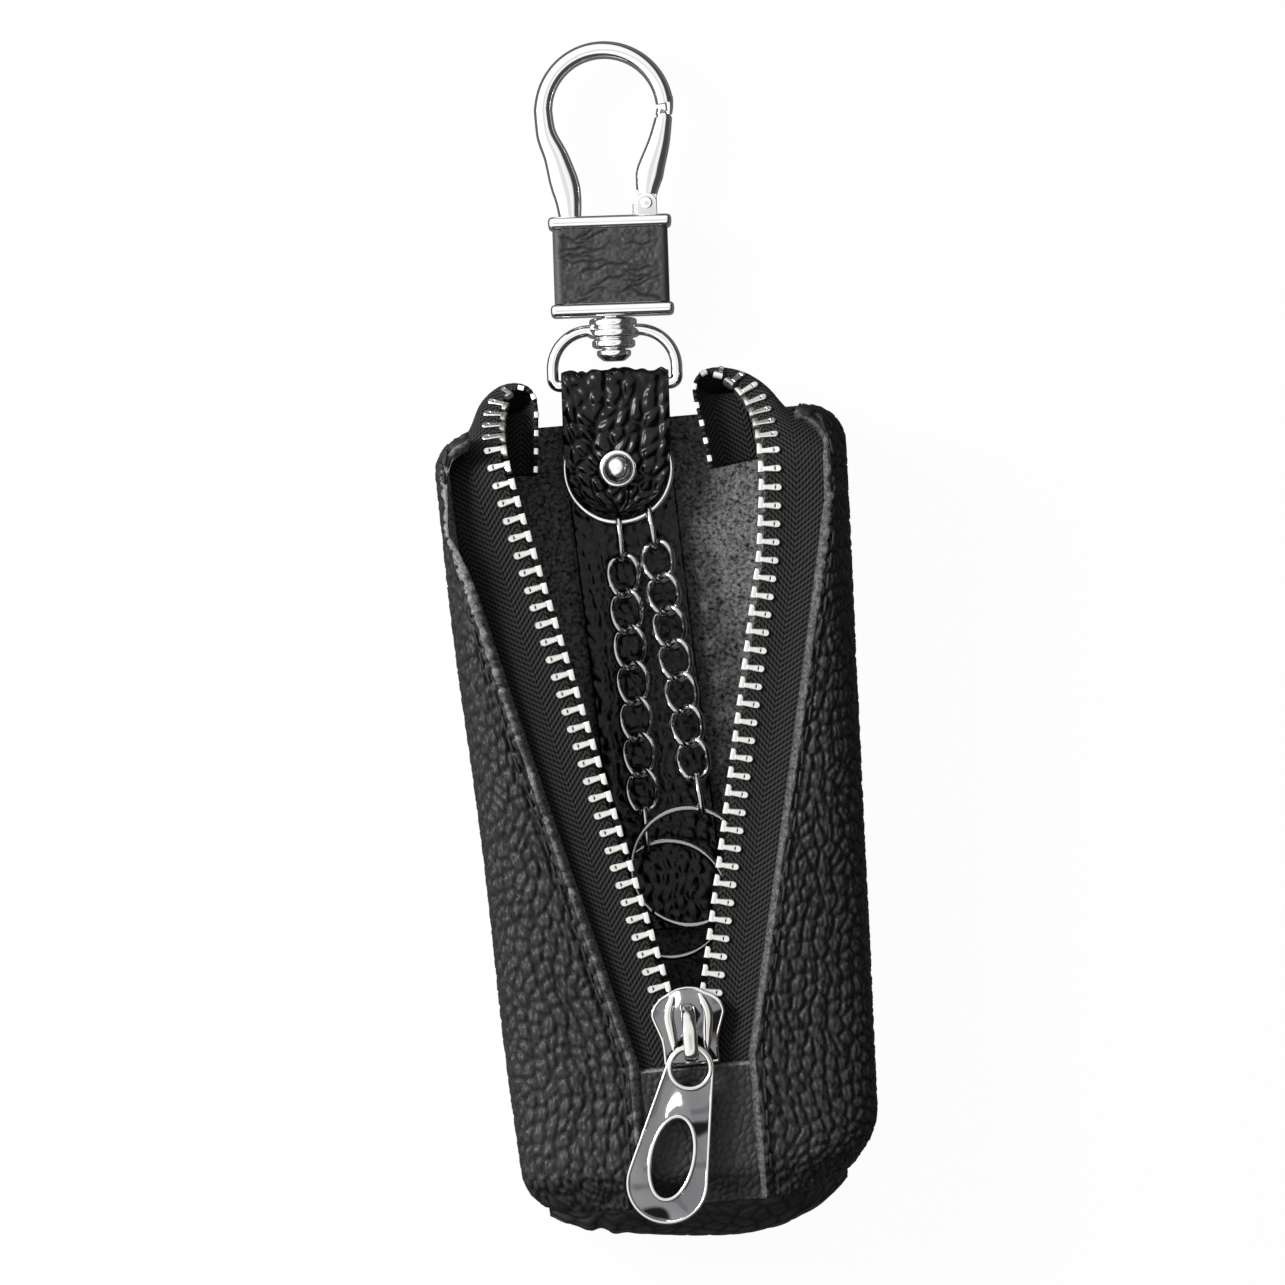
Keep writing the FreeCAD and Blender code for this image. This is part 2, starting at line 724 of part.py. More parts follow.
def make_dring():
    body = new_body("d_ring")
    low = "dring_bar"
    high = "dring_top"
    foot = "(dring_half_width - dring_corner)"
    head = "(dring_half_width - dring_shoulder)"
    turn_low = "dring_bar + dring_corner"
    turn_high = "dring_top - dring_shoulder"
    spine = new_sketch(body, "XY_Plane")
    outline(spine, [
        ("0", low), (foot, low, "dring_corner", 1), ("dring_half_width", turn_low),
        ("dring_half_width", turn_high, "dring_shoulder", 1), (head, high),
        ("-" + head, high, "dring_shoulder", 1), ("-dring_half_width", turn_high),
        ("-dring_half_width", turn_low, "dring_corner", 1), ("-" + foot, low),
    ])
    profile = new_sketch(body, "YZ_Plane")
    circle(profile, low, "0", "dring_wire")
    pipe(body, profile, spine)
    collar = new_sketch(body, "XY_Plane")
    step = COLLAR_TOP + " - collar_step"
    foot_end = COLLAR_TOP + " - collar_length"
    outline(collar, [
        ("0", foot_end), ("collar_step_radius", foot_end),
        ("collar_step_radius", foot_end + " + collar_step"),
        ("collar_radius", foot_end + " + 1.5 * collar_step"), ("collar_radius", step),
        ("collar_step_radius", COLLAR_TOP), ("0", COLLAR_TOP),
    ])
    revolve(body, "Revolution", collar)
    bore = new_sketch(body, "XY_Plane")
    outline(bore, box_corners("0", "post_radius + post_clearance", foot_end + " - 1", COLLAR_TOP + " + 1"))
    revolve(body, "Groove", bore)
    body.Placement = strap_place(BAR_HEIGHT)


def make_post():
    body = new_body("swivel_post")
    face = "(%s - collar_length - swivel_gap)" % COLLAR_TOP
    sketch = new_sketch(body, "XY_Plane")
    outline(sketch, [
        ("0", face + " - button_length"), ("0.6 * button_radius", face + " - button_length"),
        ("button_radius", face + " - 0.5 * button_length"), ("button_radius", face),
        ("post_radius", face), ("post_radius", FRAME_START + " + post_grip"),
        ("0", FRAME_START + " + post_grip"),
    ])
    revolve(body, "Revolution", sketch)
    body.Placement = strap_place(BAR_HEIGHT)


def make_frame():
    body = new_body("hook_frame")
    deep = "bar_depth / 2"
    for low, high in ((FRAME_START, BAND_START), (BAND_END, FRAME_END)):
        sketch = new_sketch(body, "XY_Plane", "-" + deep)
        outline(sketch, rounded_box("-bar_half_width", "bar_half_width", low, high, "bar_corner"))
        extrude(body, "Pad", sketch, "bar_depth")
        if low == FRAME_START:
            core = new_sketch(body, "XY_Plane", "-(band_depth / 2 - band_leather - band_clearance)")
            half = "(band_half_width - band_leather - band_clearance)"
            outline(core, box_corners("-" + half, half, low, FRAME_END))
            extrude(body, "Pad", core, "2 * (band_depth / 2 - band_leather - band_clearance)")
    for side in (-1, 1):
        inner = "gate_tongue_half + cheek_gap"
        offset = inner if side > 0 else "-(%s + cheek_thickness)" % inner
        cheek = new_sketch(body, "XY_Plane", offset)
        left = "gate_x - gate_heel_radius"
        right = "gate_x + gate_heel_radius"
        outline(cheek, [
            (left, BAND_END), (right, BAND_END), (right, GATE_PIVOT, "gate_heel_radius", 1),
            ("gate_x", GATE_PIVOT + " + gate_heel_radius", "gate_heel_radius", 1), (left, GATE_PIVOT),
        ])
        extrude(body, "Pad", cheek, "cheek_thickness")
    pin = new_sketch(body, "XY_Plane", "-" + deep)
    circle(pin, "gate_x", GATE_PIVOT, "gate_pin_radius + gate_pin_clearance")
    extrude(body, "Pocket", pin, "bar_depth", flip=True)
    bore = new_sketch(body, "XY_Plane")
    outline(bore, box_corners("0", "post_radius + post_clearance", FRAME_START + " - 1",
                              FRAME_START + " + post_grip + post_clearance"))
    revolve(body, "Groove", bore)
    body.Placement = strap_place(BAR_HEIGHT)


def make_band():
    # The leather sleeve on the frame's core, between the two bars.
    sleeve = doc.addObject("Part::Cut", "hook_band")
    sleeve.Label = "hook_band"
    blocks = []
    for inset, reach in (("0", "band_clearance"), ("band_leather", "-band_leather")):
        block = doc.addObject("Part::Box", "band_block")
        bind(block, "Length", "2 * (band_half_width - %s)" % inset)
        bind(block, "Width", "band_length - 2 * (%s)" % reach)
        bind(block, "Height", "band_depth - 2 * %s" % inset)
        corner = Vector(-size("band_half_width - " + inset), size("%s + %s" % (BAND_START, reach)),
                        -size("band_depth / 2 - " + inset))
        block.Placement = Placement(corner, Rotation())
        blocks.append(block)
    sleeve.Base, sleeve.Tool = blocks
    sleeve.Placement = strap_place(BAR_HEIGHT)
    nodes.append(sleeve)


def make_bow():
    # A pear-shaped wire bow: both runs start at its widest point on the left.
    body = new_body("hook_bow")
    middle = "(%s + bow_height)" % FRAME_END
    left = "(bow_x - bow_radius)"
    profile_offset = "-" + middle
    over = new_sketch(body, "XY_Plane")
    outline(over, [
        (left, middle, "bow_radius", -1), ("bow_x", middle + " + bow_radius", "bow_radius", -1),
        ("bow_x + bow_radius * cos(bow_nose_angle)", middle + " + bow_radius * sin(bow_nose_angle)"),
    ], closed=False)
    profile = new_sketch(body, "XZ_Plane", profile_offset)
    circle(profile, left, "0", "bow_wire")
    pipe(body, profile, over)
    drop = "sqrt(bow_leg_radius * bow_leg_radius - bow_leg_drop * bow_leg_drop)"
    leg_end = "(%s + bow_leg_radius - %s)" % (left, drop)
    leg = new_sketch(body, "XY_Plane")
    outline(leg, [(left, middle, "bow_leg_radius", 1), (leg_end, middle + " - bow_leg_drop")], closed=False)
    second = new_sketch(body, "XZ_Plane", profile_offset)
    circle(second, left, "0", "bow_wire")
    pipe(body, second, leg)
    foot = new_sketch(body, "XZ_Plane", "-" + FRAME_END)
    circle(foot, leg_end, "0", "bow_foot_radius")
    rise = "%s - bow_leg_drop + bow_foot_radius / 2 - %s" % (middle, FRAME_END)
    extrude(body, "Pad", foot, rise, flip=True)
    body.Placement = strap_place(BAR_HEIGHT)


def make_gate():
    body = new_body("hook_gate")
    tip = "(%s + gate_length)" % GATE_PIVOT
    start = "(%s + gate_body_start)" % GATE_PIVOT
    lean = "(gate_x + gate_lean)"
    heel = "gate_heel_radius"
    sketch = new_sketch(body, "XY_Plane", "-gate_half_thickness")
    outline(sketch, [
        ("gate_x - " + heel, start), ("gate_x + " + heel, start, "3 * gate_length", 1),
        (lean + " + gate_tip_half_width", tip),
        (lean + " - gate_tip_half_width", tip, "2.2 * gate_length", -1),
        ("gate_x - " + heel, start + " + 1.5 * gate_body_start"),
    ])
    extrude(body, "Pad", sketch, "2 * gate_half_thickness")
    tongue = new_sketch(body, "XY_Plane", "-gate_tongue_half")
    outline(tongue, [
        ("gate_x + " + heel, GATE_PIVOT), ("gate_x + " + heel, start), ("gate_x - " + heel, start),
        ("gate_x - " + heel, GATE_PIVOT, heel, 1), ("gate_x", "%s - %s" % (GATE_PIVOT, heel), heel, 1),
    ])
    extrude(body, "Pad", tongue, "2 * gate_tongue_half")
    pin = new_sketch(body, "XY_Plane", "-gate_half_thickness")
    circle(pin, "gate_x", GATE_PIVOT, "gate_pin_radius + gate_pin_clearance")
    extrude(body, "Pocket", pin, "2 * gate_half_thickness", flip=True)
    body.Placement = strap_place(BAR_HEIGHT)


def make_gate_pin():
    pin = doc.addObject("Part::Cylinder", "gate_pin")
    pin.Label = "gate_pin"
    half = size("gate_tongue_half + cheek_gap + cheek_thickness")
    bind(pin, "Radius", "gate_pin_radius")
    bind(pin, "Height", "2 * (gate_tongue_half + cheek_gap + cheek_thickness)")
    spot = Vector(size("gate_x"), size(GATE_PIVOT), -half)
    pin.Placement = strap_place(BAR_HEIGHT) * Placement(spot, Rotation())
    nodes.append(pin)


def make_gate_leaf():
    leaf = doc.addObject("Part::Box", "gate_spring")
    leaf.Label = "gate_spring"
    bind(leaf, "Length", "leaf_thickness")
    bind(leaf, "Width", "leaf_height")
    bind(leaf, "Height", "2 * gate_tongue_half")
    corner = Vector(size("gate_x - gate_heel_radius - seam_gap - leaf_thickness"), size(FRAME_END),
                    -size("gate_tongue_half"))
    leaf.Placement = strap_place(BAR_HEIGHT) * Placement(corner, Rotation())
    nodes.append(leaf)


# Chains and key rings

LINK_STEPS = 14
WIRE_SIDES = 6


def tube(points, outward, radius, closed):
    # A solid wire of flat facets: outward holds a direction across the wire at each point.
    count = len(points)
    rings = []
    for i in range(count):
        ahead = points[(i + 1) % count] if closed or i < count - 1 else points[i]
        behind = points[i - 1] if closed or i > 0 else points[i]
        along = (ahead - behind).normalize()
        first = (outward[i] - along * outward[i].dot(along)).normalize()
        second = along.cross(first)
        turns = [2 * math.pi * k / WIRE_SIDES for k in range(WIRE_SIDES)]
        rings.append([points[i] + (first * math.cos(a) + second * math.sin(a)) * radius for a in turns])
    faces = []
    for i in range(count if closed else count - 1):
        here, there = rings[i], rings[(i + 1) % count]
        for k in range(WIRE_SIDES):
            n = (k + 1) % WIRE_SIDES
            faces.append(Part.Face(Part.makePolygon([here[k], here[n], there[n], here[k]])))
            faces.append(Part.Face(Part.makePolygon([here[k], there[n], there[k], here[k]])))
    if not closed:
        faces.append(Part.Face(Part.makePolygon(rings[0] + rings[0][:1])))
        faces.append(Part.Face(Part.makePolygon(rings[-1] + rings[-1][:1])))
    solid = Part.makeSolid(Part.makeShell(faces))
    if solid.Volume < 0:
        solid.reverse()
    return solid


def twisted_link(middle, along, across, up, half_length, half_width, twist):
    # A closed loop whose two ends lean opposite ways, so that each link lies flat in the next.
    points, outward = [], []
    for k in range(LINK_STEPS):
        a = 2 * math.pi * k / LINK_STEPS
        arm = across * (half_width * math.cos(a)) + along * (half_length * math.sin(a))
        points.append(middle + arm + up * (twist * math.sin(2 * a)))
        outward.append(arm)
    return tube(points, outward, size("link_wire"), True)


def chain_run(start, stop, links, start_wire, stop_wire):
    # Contact points at one pitch from the wire ring to the key ring, with a link across each step.
    along = (stop - start).normalize()
    across = along.cross(Vector(0, 0, 1)).normalize()
    up = across.cross(along)
    pitch = (stop - start).Length / links
    wire = size("link_wire")
    slack = size("link_slack")
    solids = []
    for i in range(links):
        before = start_wire + wire + slack if i == 0 else wire + slack / 2
        after = stop_wire + wire + size("key_slack") if i == links - 1 else wire + slack / 2
        top = start + along * (i * pitch - before)
        foot = start + along * ((i + 1) * pitch + after)
        half = (foot - top).Length / 2
        middle = (top + foot) * 0.5
        if i in (0, links - 1):
            tall = size("top_link_half_width" if i == 0 else "key_link_half_width")
            solids.append(twisted_link(middle, along, up, across, half, tall, 0.0))
        else:
            flat = size("link_half_width")
            solids.append(twisted_link(middle, along, across, up, half, flat, size("link_twist")))
    return solids


def key_ring(centre):
    # Two turns of wire: the second lies on the first, and the wire steps up between them over a short ramp.
    radius = size("key_ring_radius")
    wire = size("key_ring_wire")
    rise = 2 * wire + size("key_ring_gap")
    steps = 28
    gap = 2
    points, outward = [], []
    for k in range(2 * steps - gap + 1):
        a = 2 * math.pi * k / steps + math.radians(250)
        share = min(max((k - steps + 2 * gap) / (2.0 * gap), 0.0), 1.0)
        arm = Vector(math.cos(a), math.sin(a), 0)
        points.append(centre + arm * radius + Vector(0, 0, rise * (share - 0.5)))
        outward.append(arm)
    return tube(points, outward, wire, False)


def make_chains():
    ring = strap_place(BAR_HEIGHT)
    wire_ring = size("wire_ring_wire")
    key_wire = size("key_ring_wire")
    for name, side in (("left", -1), ("right", 1)):
        links = int(size(name + "_links"))
        turn = math.radians(size(name + "_ring_angle"))
        start = ring.multVec(Vector(math.cos(turn), math.sin(turn), 0) * size("wire_ring_radius"))
        middle = Vector(size(name + "_key_x"), size(name + "_key_y"), size(name + "_key_height"))
        lean = math.radians(90 - side * size("key_link_lean"))
        stop = middle + Vector(math.cos(lean), math.sin(lean), 0) * size("key_ring_radius")
        solids = chain_run(start, stop, links, wire_ring, key_wire)
        cuts = (0, int(size("upper_links")), int(size("upper_links + middle_links")), links)
        for part, first, last in zip(("upper", "middle", "lower"), cuts, cuts[1:]):
            new_shape("chain_%s_%s" % (name, part), Part.makeCompound(solids[first:last]))
        new_shape("key_ring_" + name, key_ring(middle))


make_back_panel()
make_side_panel("side_panel_left", -1)
make_side_panel("side_panel_right", 1)
make_bottom_panel()
make_end_panel()
make_tape("zip_tape_left", -1)
make_tape("zip_tape_right", 1)
tooth_shape = make_tooth()
make_teeth("zip_teeth_left", -1, tooth_shape)
make_teeth("zip_teeth_right", 1, tooth_shape)
make_bottom_stop()
make_slider()
make_bail()
make_tab()
make_strap()
make_tail()
make_rivet_base()
make_stud()
make_wire_ring()
make_dring()
make_post()
make_frame()
make_band()
make_bow()
make_gate()
make_gate_pin()
make_gate_leaf()
make_chains()
doc.recompute()

for item in doc.Objects:
    if "Invalid" in item.State or "Error" in item.State:
        raise RuntimeError("failed: " + item.Name)
for item in nodes:
    if item.Shape.isNull() or not item.Shape.isValid():
        raise RuntimeError("bad shape: " + item.Label)

os.makedirs("parts", exist_ok=True)
for item in nodes:
    item.Shape.exportStep("parts/%s.step" % item.Label)
print(len(nodes), "pieces written")
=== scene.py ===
import math
import bmesh
import bpy
import numpy as np
from mathutils import Matrix, Vector


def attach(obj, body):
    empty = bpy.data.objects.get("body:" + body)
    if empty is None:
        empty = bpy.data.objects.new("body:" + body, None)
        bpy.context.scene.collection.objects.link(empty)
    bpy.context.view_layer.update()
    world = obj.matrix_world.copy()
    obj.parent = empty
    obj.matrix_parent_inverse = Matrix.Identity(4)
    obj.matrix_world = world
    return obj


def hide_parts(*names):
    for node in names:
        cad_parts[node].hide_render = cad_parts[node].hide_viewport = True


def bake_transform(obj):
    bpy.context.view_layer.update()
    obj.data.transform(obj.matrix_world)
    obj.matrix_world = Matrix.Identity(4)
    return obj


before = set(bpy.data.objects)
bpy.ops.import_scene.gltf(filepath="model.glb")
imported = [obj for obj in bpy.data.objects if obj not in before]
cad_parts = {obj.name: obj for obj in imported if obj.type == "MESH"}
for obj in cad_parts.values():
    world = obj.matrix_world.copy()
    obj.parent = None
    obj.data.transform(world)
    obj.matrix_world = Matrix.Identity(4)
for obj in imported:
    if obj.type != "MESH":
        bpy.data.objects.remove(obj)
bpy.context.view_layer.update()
mm = 0.001


# Materials

def linear(hexText):
    parts = [int(hexText[i:i + 2], 16) / 255 for i in (1, 3, 5)]
    return tuple(c / 12.92 if c <= 0.04045 else ((c + 0.055) / 1.055) ** 2.4 for c in parts) + (1.0,)


def feed(tree, made, sockets):
    # Links or sets the inputs of a node.
    for key, value in sockets.items():
        if isinstance(value, bpy.types.NodeSocket):
            tree.links.new(value, made.inputs[key])
        else:
            made.inputs[key].default_value = value


def node(tree, kind, sockets=None, **settings):
    made = tree.nodes.new(kind)
    for key, value in settings.items():
        setattr(made, key, value)
    feed(tree, made, sockets or {})
    return made


def newMaterial(name, **shaderSettings):
    made = bpy.data.materials.new(name)
    made.use_nodes = True
    tree = made.node_tree
    tree.nodes.clear()
    shader = node(tree, "ShaderNodeBsdfPrincipled", shaderSettings)
    node(tree, "ShaderNodeOutputMaterial", {"Surface": shader.outputs[0]})
    return made, tree, shader


def perMm(sizeMm):
    return 1 / (sizeMm * mm)  # texture scale for a feature of that size


hide = {"patch": 9, "patchShare": (0.45, 0.75, 0.0, 0.35), "pore": 0.45, "poreDepth": 0.03}


def leatherMaterial(name, look):
    # Drum-dyed calf: the relief is in the mesh, its height in the grain attribute; creases are duller
    # and darker in colour, which is painted shade, and pebble tops in random patches are lighter, a painted
    # highlight.
    made, tree, shader = newMaterial(name, **{"IOR": 1.5, "Specular IOR Level": look["gloss"]})
    place = node(tree, "ShaderNodeTexCoord").outputs["Object"]
    grain = node(tree, "ShaderNodeAttribute", attribute_name="grain").outputs["Fac"]
    patch = node(tree, "ShaderNodeTexNoise", {
        "Vector": place, "Scale": perMm(hide["patch"]), "Detail": 3.0}).outputs["Fac"]
    pore = node(tree, "ShaderNodeTexNoise", {
        "Vector": place, "Scale": perMm(hide["pore"]), "Detail": 2.0}).outputs["Fac"]
    # Lighter colour on pebble tops, in random patches of the noise: a painted highlight.
    share = node(tree, "ShaderNodeMapRange", dict(enumerate((patch, *hide["patchShare"]))))
    paintedTopLight = node(tree, "ShaderNodeMath", {0: share.outputs[0], 1: grain}, operation="MULTIPLY")
    # Low grain takes the crease colour: painted shade in the creases.
    base = node(tree, "ShaderNodeMix", {
        0: grain, 6: linear(look["crease"]), 7: linear(look["pebble"])}, data_type="RGBA")
    colour = node(tree, "ShaderNodeMix", {
        0: paintedTopLight.outputs[0], 6: base.outputs[2], 7: linear(look["paintedTopLight"])}, data_type="RGBA")
    rough = node(tree, "ShaderNodeMapRange", {0: grain, 1: 0.0, 2: 1.0, 3: look["dull"], 4: look["shine"]})
    bump = node(tree, "ShaderNodeBump", {
        "Height": pore, "Distance": hide["poreDepth"] * mm, "Strength": look["pore"]})
    feed(tree, shader, {
        "Base Color": colour.outputs[2], "Roughness": rough.outputs[0], "Normal": bump.outputs[0]})
    return made


# Each crease colour is painted shade in the creases; the lighter colour is a painted highlight on pebble
# tops.
pebbledLeather = leatherMaterial("pebbled calf leather", {
    "pebble": "#303030", "crease": "#050505", "paintedTopLight": "#404040", "dull": 0.7, "shine": 0.42,
    "gloss": 0.3, "pore": 0.5})
strapLeather = leatherMaterial("milled strap leather", {
    "pebble": "#070707", "crease": "#010101", "paintedTopLight": "#0e0e0e", "dull": 0.34, "shine": 0.2,
    "gloss": 0.24, "pore": 0.35})
bandLeather = leatherMaterial("creased band leather", {
    "pebble": "#4a4a4a", "crease": "#121212", "paintedTopLight": "#5c5c5c", "dull": 0.7, "shine": 0.5,
    "gloss": 0.3, "pore": 0.6})


def fibreMaterial(name, look):
    # Flesh side and cut edge of leather: matt cut fibres in mottled greys.
    made, tree, shader = newMaterial(name, **{"Roughness": 0.95, "Specular IOR Level": 0.08})
    place = node(tree, "ShaderNodeTexCoord").outputs["Object"]
    mottle = node(tree, "ShaderNodeTexNoise", {
        "Vector": place, "Scale": perMm(look["mottle"]), "Detail": 4.0, "Roughness": 0.7}).outputs["Fac"]
    share = node(tree, "ShaderNodeMapRange", {0: mottle, 1: 0.36, 2: 0.64})
    colour = node(tree, "ShaderNodeMix", {
        0: share.outputs[0], 6: linear(look["low"]), 7: linear(look["high"])}, data_type="RGBA")
    bump = node(tree, "ShaderNodeBump", {
        "Height": mottle, "Distance": look["relief"] * mm, "Strength": 0.6})
    feed(tree, shader, {"Base Color": colour.outputs[2], "Normal": bump.outputs[0]})
    return made


suedeInside = fibreMaterial("suede flesh side",
                            {"low": "#1c1c1c", "high": "#9a9a9a", "mottle": 0.5, "relief": 0.25})
cutEdge = fibreMaterial("raw cut leather edge",
                        {"low": "#565656", "high": "#a6a6a6", "mottle": 0.45, "relief": 0.12})
# A darker copy of the raw edge for the right lip: painted shade.
shadedCutEdge = fibreMaterial("cut leather edge in painted shade",
                         {"low": "#3a3a3a", "high": "#7a7a7a", "mottle": 0.45, "relief": 0.12})
darkEdge = fibreMaterial("dyed leather edge",
                         {"low": "#0e0e0e", "high": "#232323", "mottle": 0.7, "relief": 0.1})


def twillMaterial(name, look):
    # Polyester zip tape in herringbone twill: the UV map runs across and along the tape in metres.
    # The real twill line of about 0.35 mm is drawn at 0.75 mm, so that it shows in the render.
    made, tree, shader = newMaterial(name, **{"Roughness": 0.85, "Specular IOR Level": 0.12})
    spot = node(tree, "ShaderNodeSeparateXYZ", {0: node(tree, "ShaderNodeUVMap").outputs[0]}).outputs
    zig = node(tree, "ShaderNodeMath", {0: spot[0], 1: look["rib"] * mm}, operation="PINGPONG")
    slant = node(tree, "ShaderNodeMath", {0: zig.outputs[0], 1: look["slope"], 2: spot[1]},
                 operation="MULTIPLY_ADD")
    turn = node(tree, "ShaderNodeMath", {0: slant.outputs[0], 1: 2 * math.pi / (look["pitch"] * mm)},
                operation="MULTIPLY")
    wave = node(tree, "ShaderNodeMath", {0: turn.outputs[0]}, operation="SINE")
    cross = node(tree, "ShaderNodeMath", {0: spot[0], 1: 2 * math.pi / (look["thread"] * mm)},
                 operation="MULTIPLY")
    thread = node(tree, "ShaderNodeMath", {0: cross.outputs[0]}, operation="SINE")
    both = node(tree, "ShaderNodeMath", {0: thread.outputs[0], 1: 0.45, 2: wave.outputs[0]},
                operation="MULTIPLY_ADD")
    share = node(tree, "ShaderNodeMapRange", {0: both.outputs[0], 1: -1.2, 2: 1.2}).outputs[0]
    colour = node(tree, "ShaderNodeMix", {
        0: share, 6: linear(look["low"]), 7: linear(look["high"])}, data_type="RGBA")
    bump = node(tree, "ShaderNodeBump", {"Height": share, "Distance": 0.16 * mm, "Strength": 0.8})
    feed(tree, shader, {"Base Color": colour.outputs[2], "Normal": bump.outputs[0]})
    return made


twillTape = twillMaterial("herringbone zip tape", {
    "low": "#060606", "high": "#424242", "rib": 3.6, "slope": 0.9, "pitch": 0.75, "thread": 0.45})


def metalMaterial(name, look):
    # Plated metal: a clean mirror with faint scuffs that vary its gloss, and soft waves where it is
    # pressed sheet.
    made, tree, shader = newMaterial(name, **{"Metallic": 1.0, "Base Color": linear(look["colour"])})
    place = node(tree, "ShaderNodeTexCoord").outputs["Object"]
    scuff = node(tree, "ShaderNodeTexNoise", {
        "Vector": place, "Scale": perMm(look["scuff"]), "Detail": 4.0, "Roughness": 0.6}).outputs["Fac"]
    wave = node(tree, "ShaderNodeTexNoise", {"Vector": place, "Scale": perMm(7), "Detail": 0.0})
    rough = node(tree, "ShaderNodeMapRange", {0: scuff, 1: 0.3, 2: 0.75, 3: look["shine"], 4: look["dull"]})
    swell = node(tree, "ShaderNodeBump", {
        "Height": wave.outputs["Fac"], "Distance": look.get("wave", 0.0) * mm})
    bump = node(tree, "ShaderNodeBump", {
        "Height": scuff, "Distance": 0.02 * mm, "Strength": 0.25, "Normal": swell.outputs[0]})
    feed(tree, shader, {"Roughness": rough.outputs[0], "Normal": bump.outputs[0]})
    return made


chromePlate = metalMaterial("polished chrome plate",
                            {"colour": "#f0f0f2", "scuff": 2.5, "shine": 0.05, "dull": 0.12})
nickelPlate = metalMaterial("bright nickel plate",
                            {"colour": "#d6d4d0", "scuff": 1.5, "shine": 0.06, "dull": 0.14})
# Nickel in a darker colour, so that the flat faces show a painted dark reflection.
paintedDarkNickel = metalMaterial("nickel plate with painted dark reflection",
                           {"colour": "#747476", "scuff": 1.5, "shine": 0.06, "dull": 0.13, "wave": 4.0})
satinNickel = metalMaterial("satin nickel stud",
                            {"colour": "#f4f4f2", "scuff": 1.2, "shine": 0.2, "dull": 0.3})
toothMetal = metalMaterial("tumbled nickel teeth",
                           {"colour": "#e8e6e2", "scuff": 0.6, "shine": 0.24, "dull": 0.45})
gunmetal = metalMaterial("gunmetal plate", {"colour": "#b2b2b4", "scuff": 1.0, "shine": 0.08, "dull": 0.16})
steelWire = metalMaterial("drawn steel wire",
                          {"colour": "#f0f0f0", "scuff": 0.8, "shine": 0.16, "dull": 0.3})
keyRingSteel = metalMaterial("dark plated ring wire",
                             {"colour": "#9a9a9a", "scuff": 0.8, "shine": 0.12, "dull": 0.25})

threadMaterial, threadTree, threadShader = newMaterial("bonded nylon thread", **{
    "Base Color": linear("#121212"), "Roughness": 0.6, "Specular IOR Level": 0.4})
threadTwist = node(threadTree, "ShaderNodeTexNoise", {
    "Vector": node(threadTree, "ShaderNodeTexCoord").outputs["Object"], "Scale": perMm(0.25), "Detail": 1.0})
threadBump = node(threadTree, "ShaderNodeBump", {
    "Height": threadTwist.outputs["Fac"], "Distance": 0.05 * mm})
feed(threadTree, threadShader, {"Normal": threadBump.outputs[0]})
print("materials ready")


# Mesh tools: shapes are (points, faces, material number) until they become a piece.

def addPiece(name, shapes, materials, attributes=None, uv=None, weld=False):
    points, faces, slots, start = [], [], [], 0
    for shapePoints, shapeFaces, slot in shapes:
        shapePoints = np.asarray(shapePoints, float)
        points.append(shapePoints)
        faces += [tuple(int(i) + start for i in face) for face in shapeFaces]
        slots += list(slot) if hasattr(slot, "__len__") else [slot] * len(shapeFaces)
        start += len(shapePoints)
    mesh = bpy.data.meshes.new(name)
    mesh.from_pydata((np.concatenate(points) * mm).tolist(), [], faces)
    for one in materials:
        mesh.materials.append(one)
    mesh.polygons.foreach_set("material_index", slots)
    for key, values in (attributes or {}).items():
        mesh.attributes.new(key, "FLOAT", "POINT").data.foreach_set("value", np.asarray(values, np.float32))
    if uv is not None:
        corners = np.empty(len(mesh.loops), np.int32)
        mesh.loops.foreach_get("vertex_index", corners)
        mesh.uv_layers.new(name="UVMap").data.foreach_set("uv", (np.asarray(uv)[corners] * mm).ravel())
    work = bmesh.new()
    work.from_mesh(mesh)
    if weld:
        bmesh.ops.remove_doubles(work, verts=work.verts, dist=1e-6)
    bmesh.ops.recalc_face_normals(work, faces=work.faces)
    work.to_mesh(mesh)
    work.free()
    mesh.polygons.foreach_set("use_smooth", [True] * len(mesh.polygons))
    made = bpy.data.objects.new(name, mesh)
    bpy.context.scene.collection.objects.link(made)
    return made


def settle(piece, body, slot, *nodes):
    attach(piece, body)
    if nodes:
        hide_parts(*nodes)
    return piece


def sharpen(piece, degrees=35):
    # Smooth shading with hard corners kept.
    piece.data.set_sharp_from_angle(angle=math.radians(degrees))
    return piece


def unit(vectors):
    return vectors / np.linalg.norm(vectors, axis=1, keepdims=True)


def fullTurn(count):
    return np.arange(count) * 2 * math.pi / count  # even angles, once round


def loopAhead(loop):
    return unit(np.roll(loop, -1, axis=0) - np.roll(loop, 1, axis=0))  # directions along a closed loop


def walkedAlong(points):
    return np.concatenate([[0], np.cumsum(np.linalg.norm(np.diff(points, axis=0), axis=1))])


def bell(distance, width):
    return np.exp(-(distance / width) ** 2)


def grainOf(relief):
    # Attribute of a sheet: relief on the outer face, nothing sunk on the inner; low relief gets painted
    # shade.
    return {"grain": np.concatenate([relief.ravel(), np.ones(relief.size)])}


def gridFaces(rows, columns, loopRows=False, loopColumns=False):
    index = np.arange(rows * columns).reshape(rows, columns)
    if loopRows:
        index = np.vstack([index, index[:1]])
    if loopColumns:
        index = np.hstack([index, index[:, :1]])
    a, b, c, d = index[:-1, :-1], index[1:, :-1], index[1:, 1:], index[:-1, 1:]
    return np.stack([a, b, c, d], axis=-1).reshape(-1, 4)


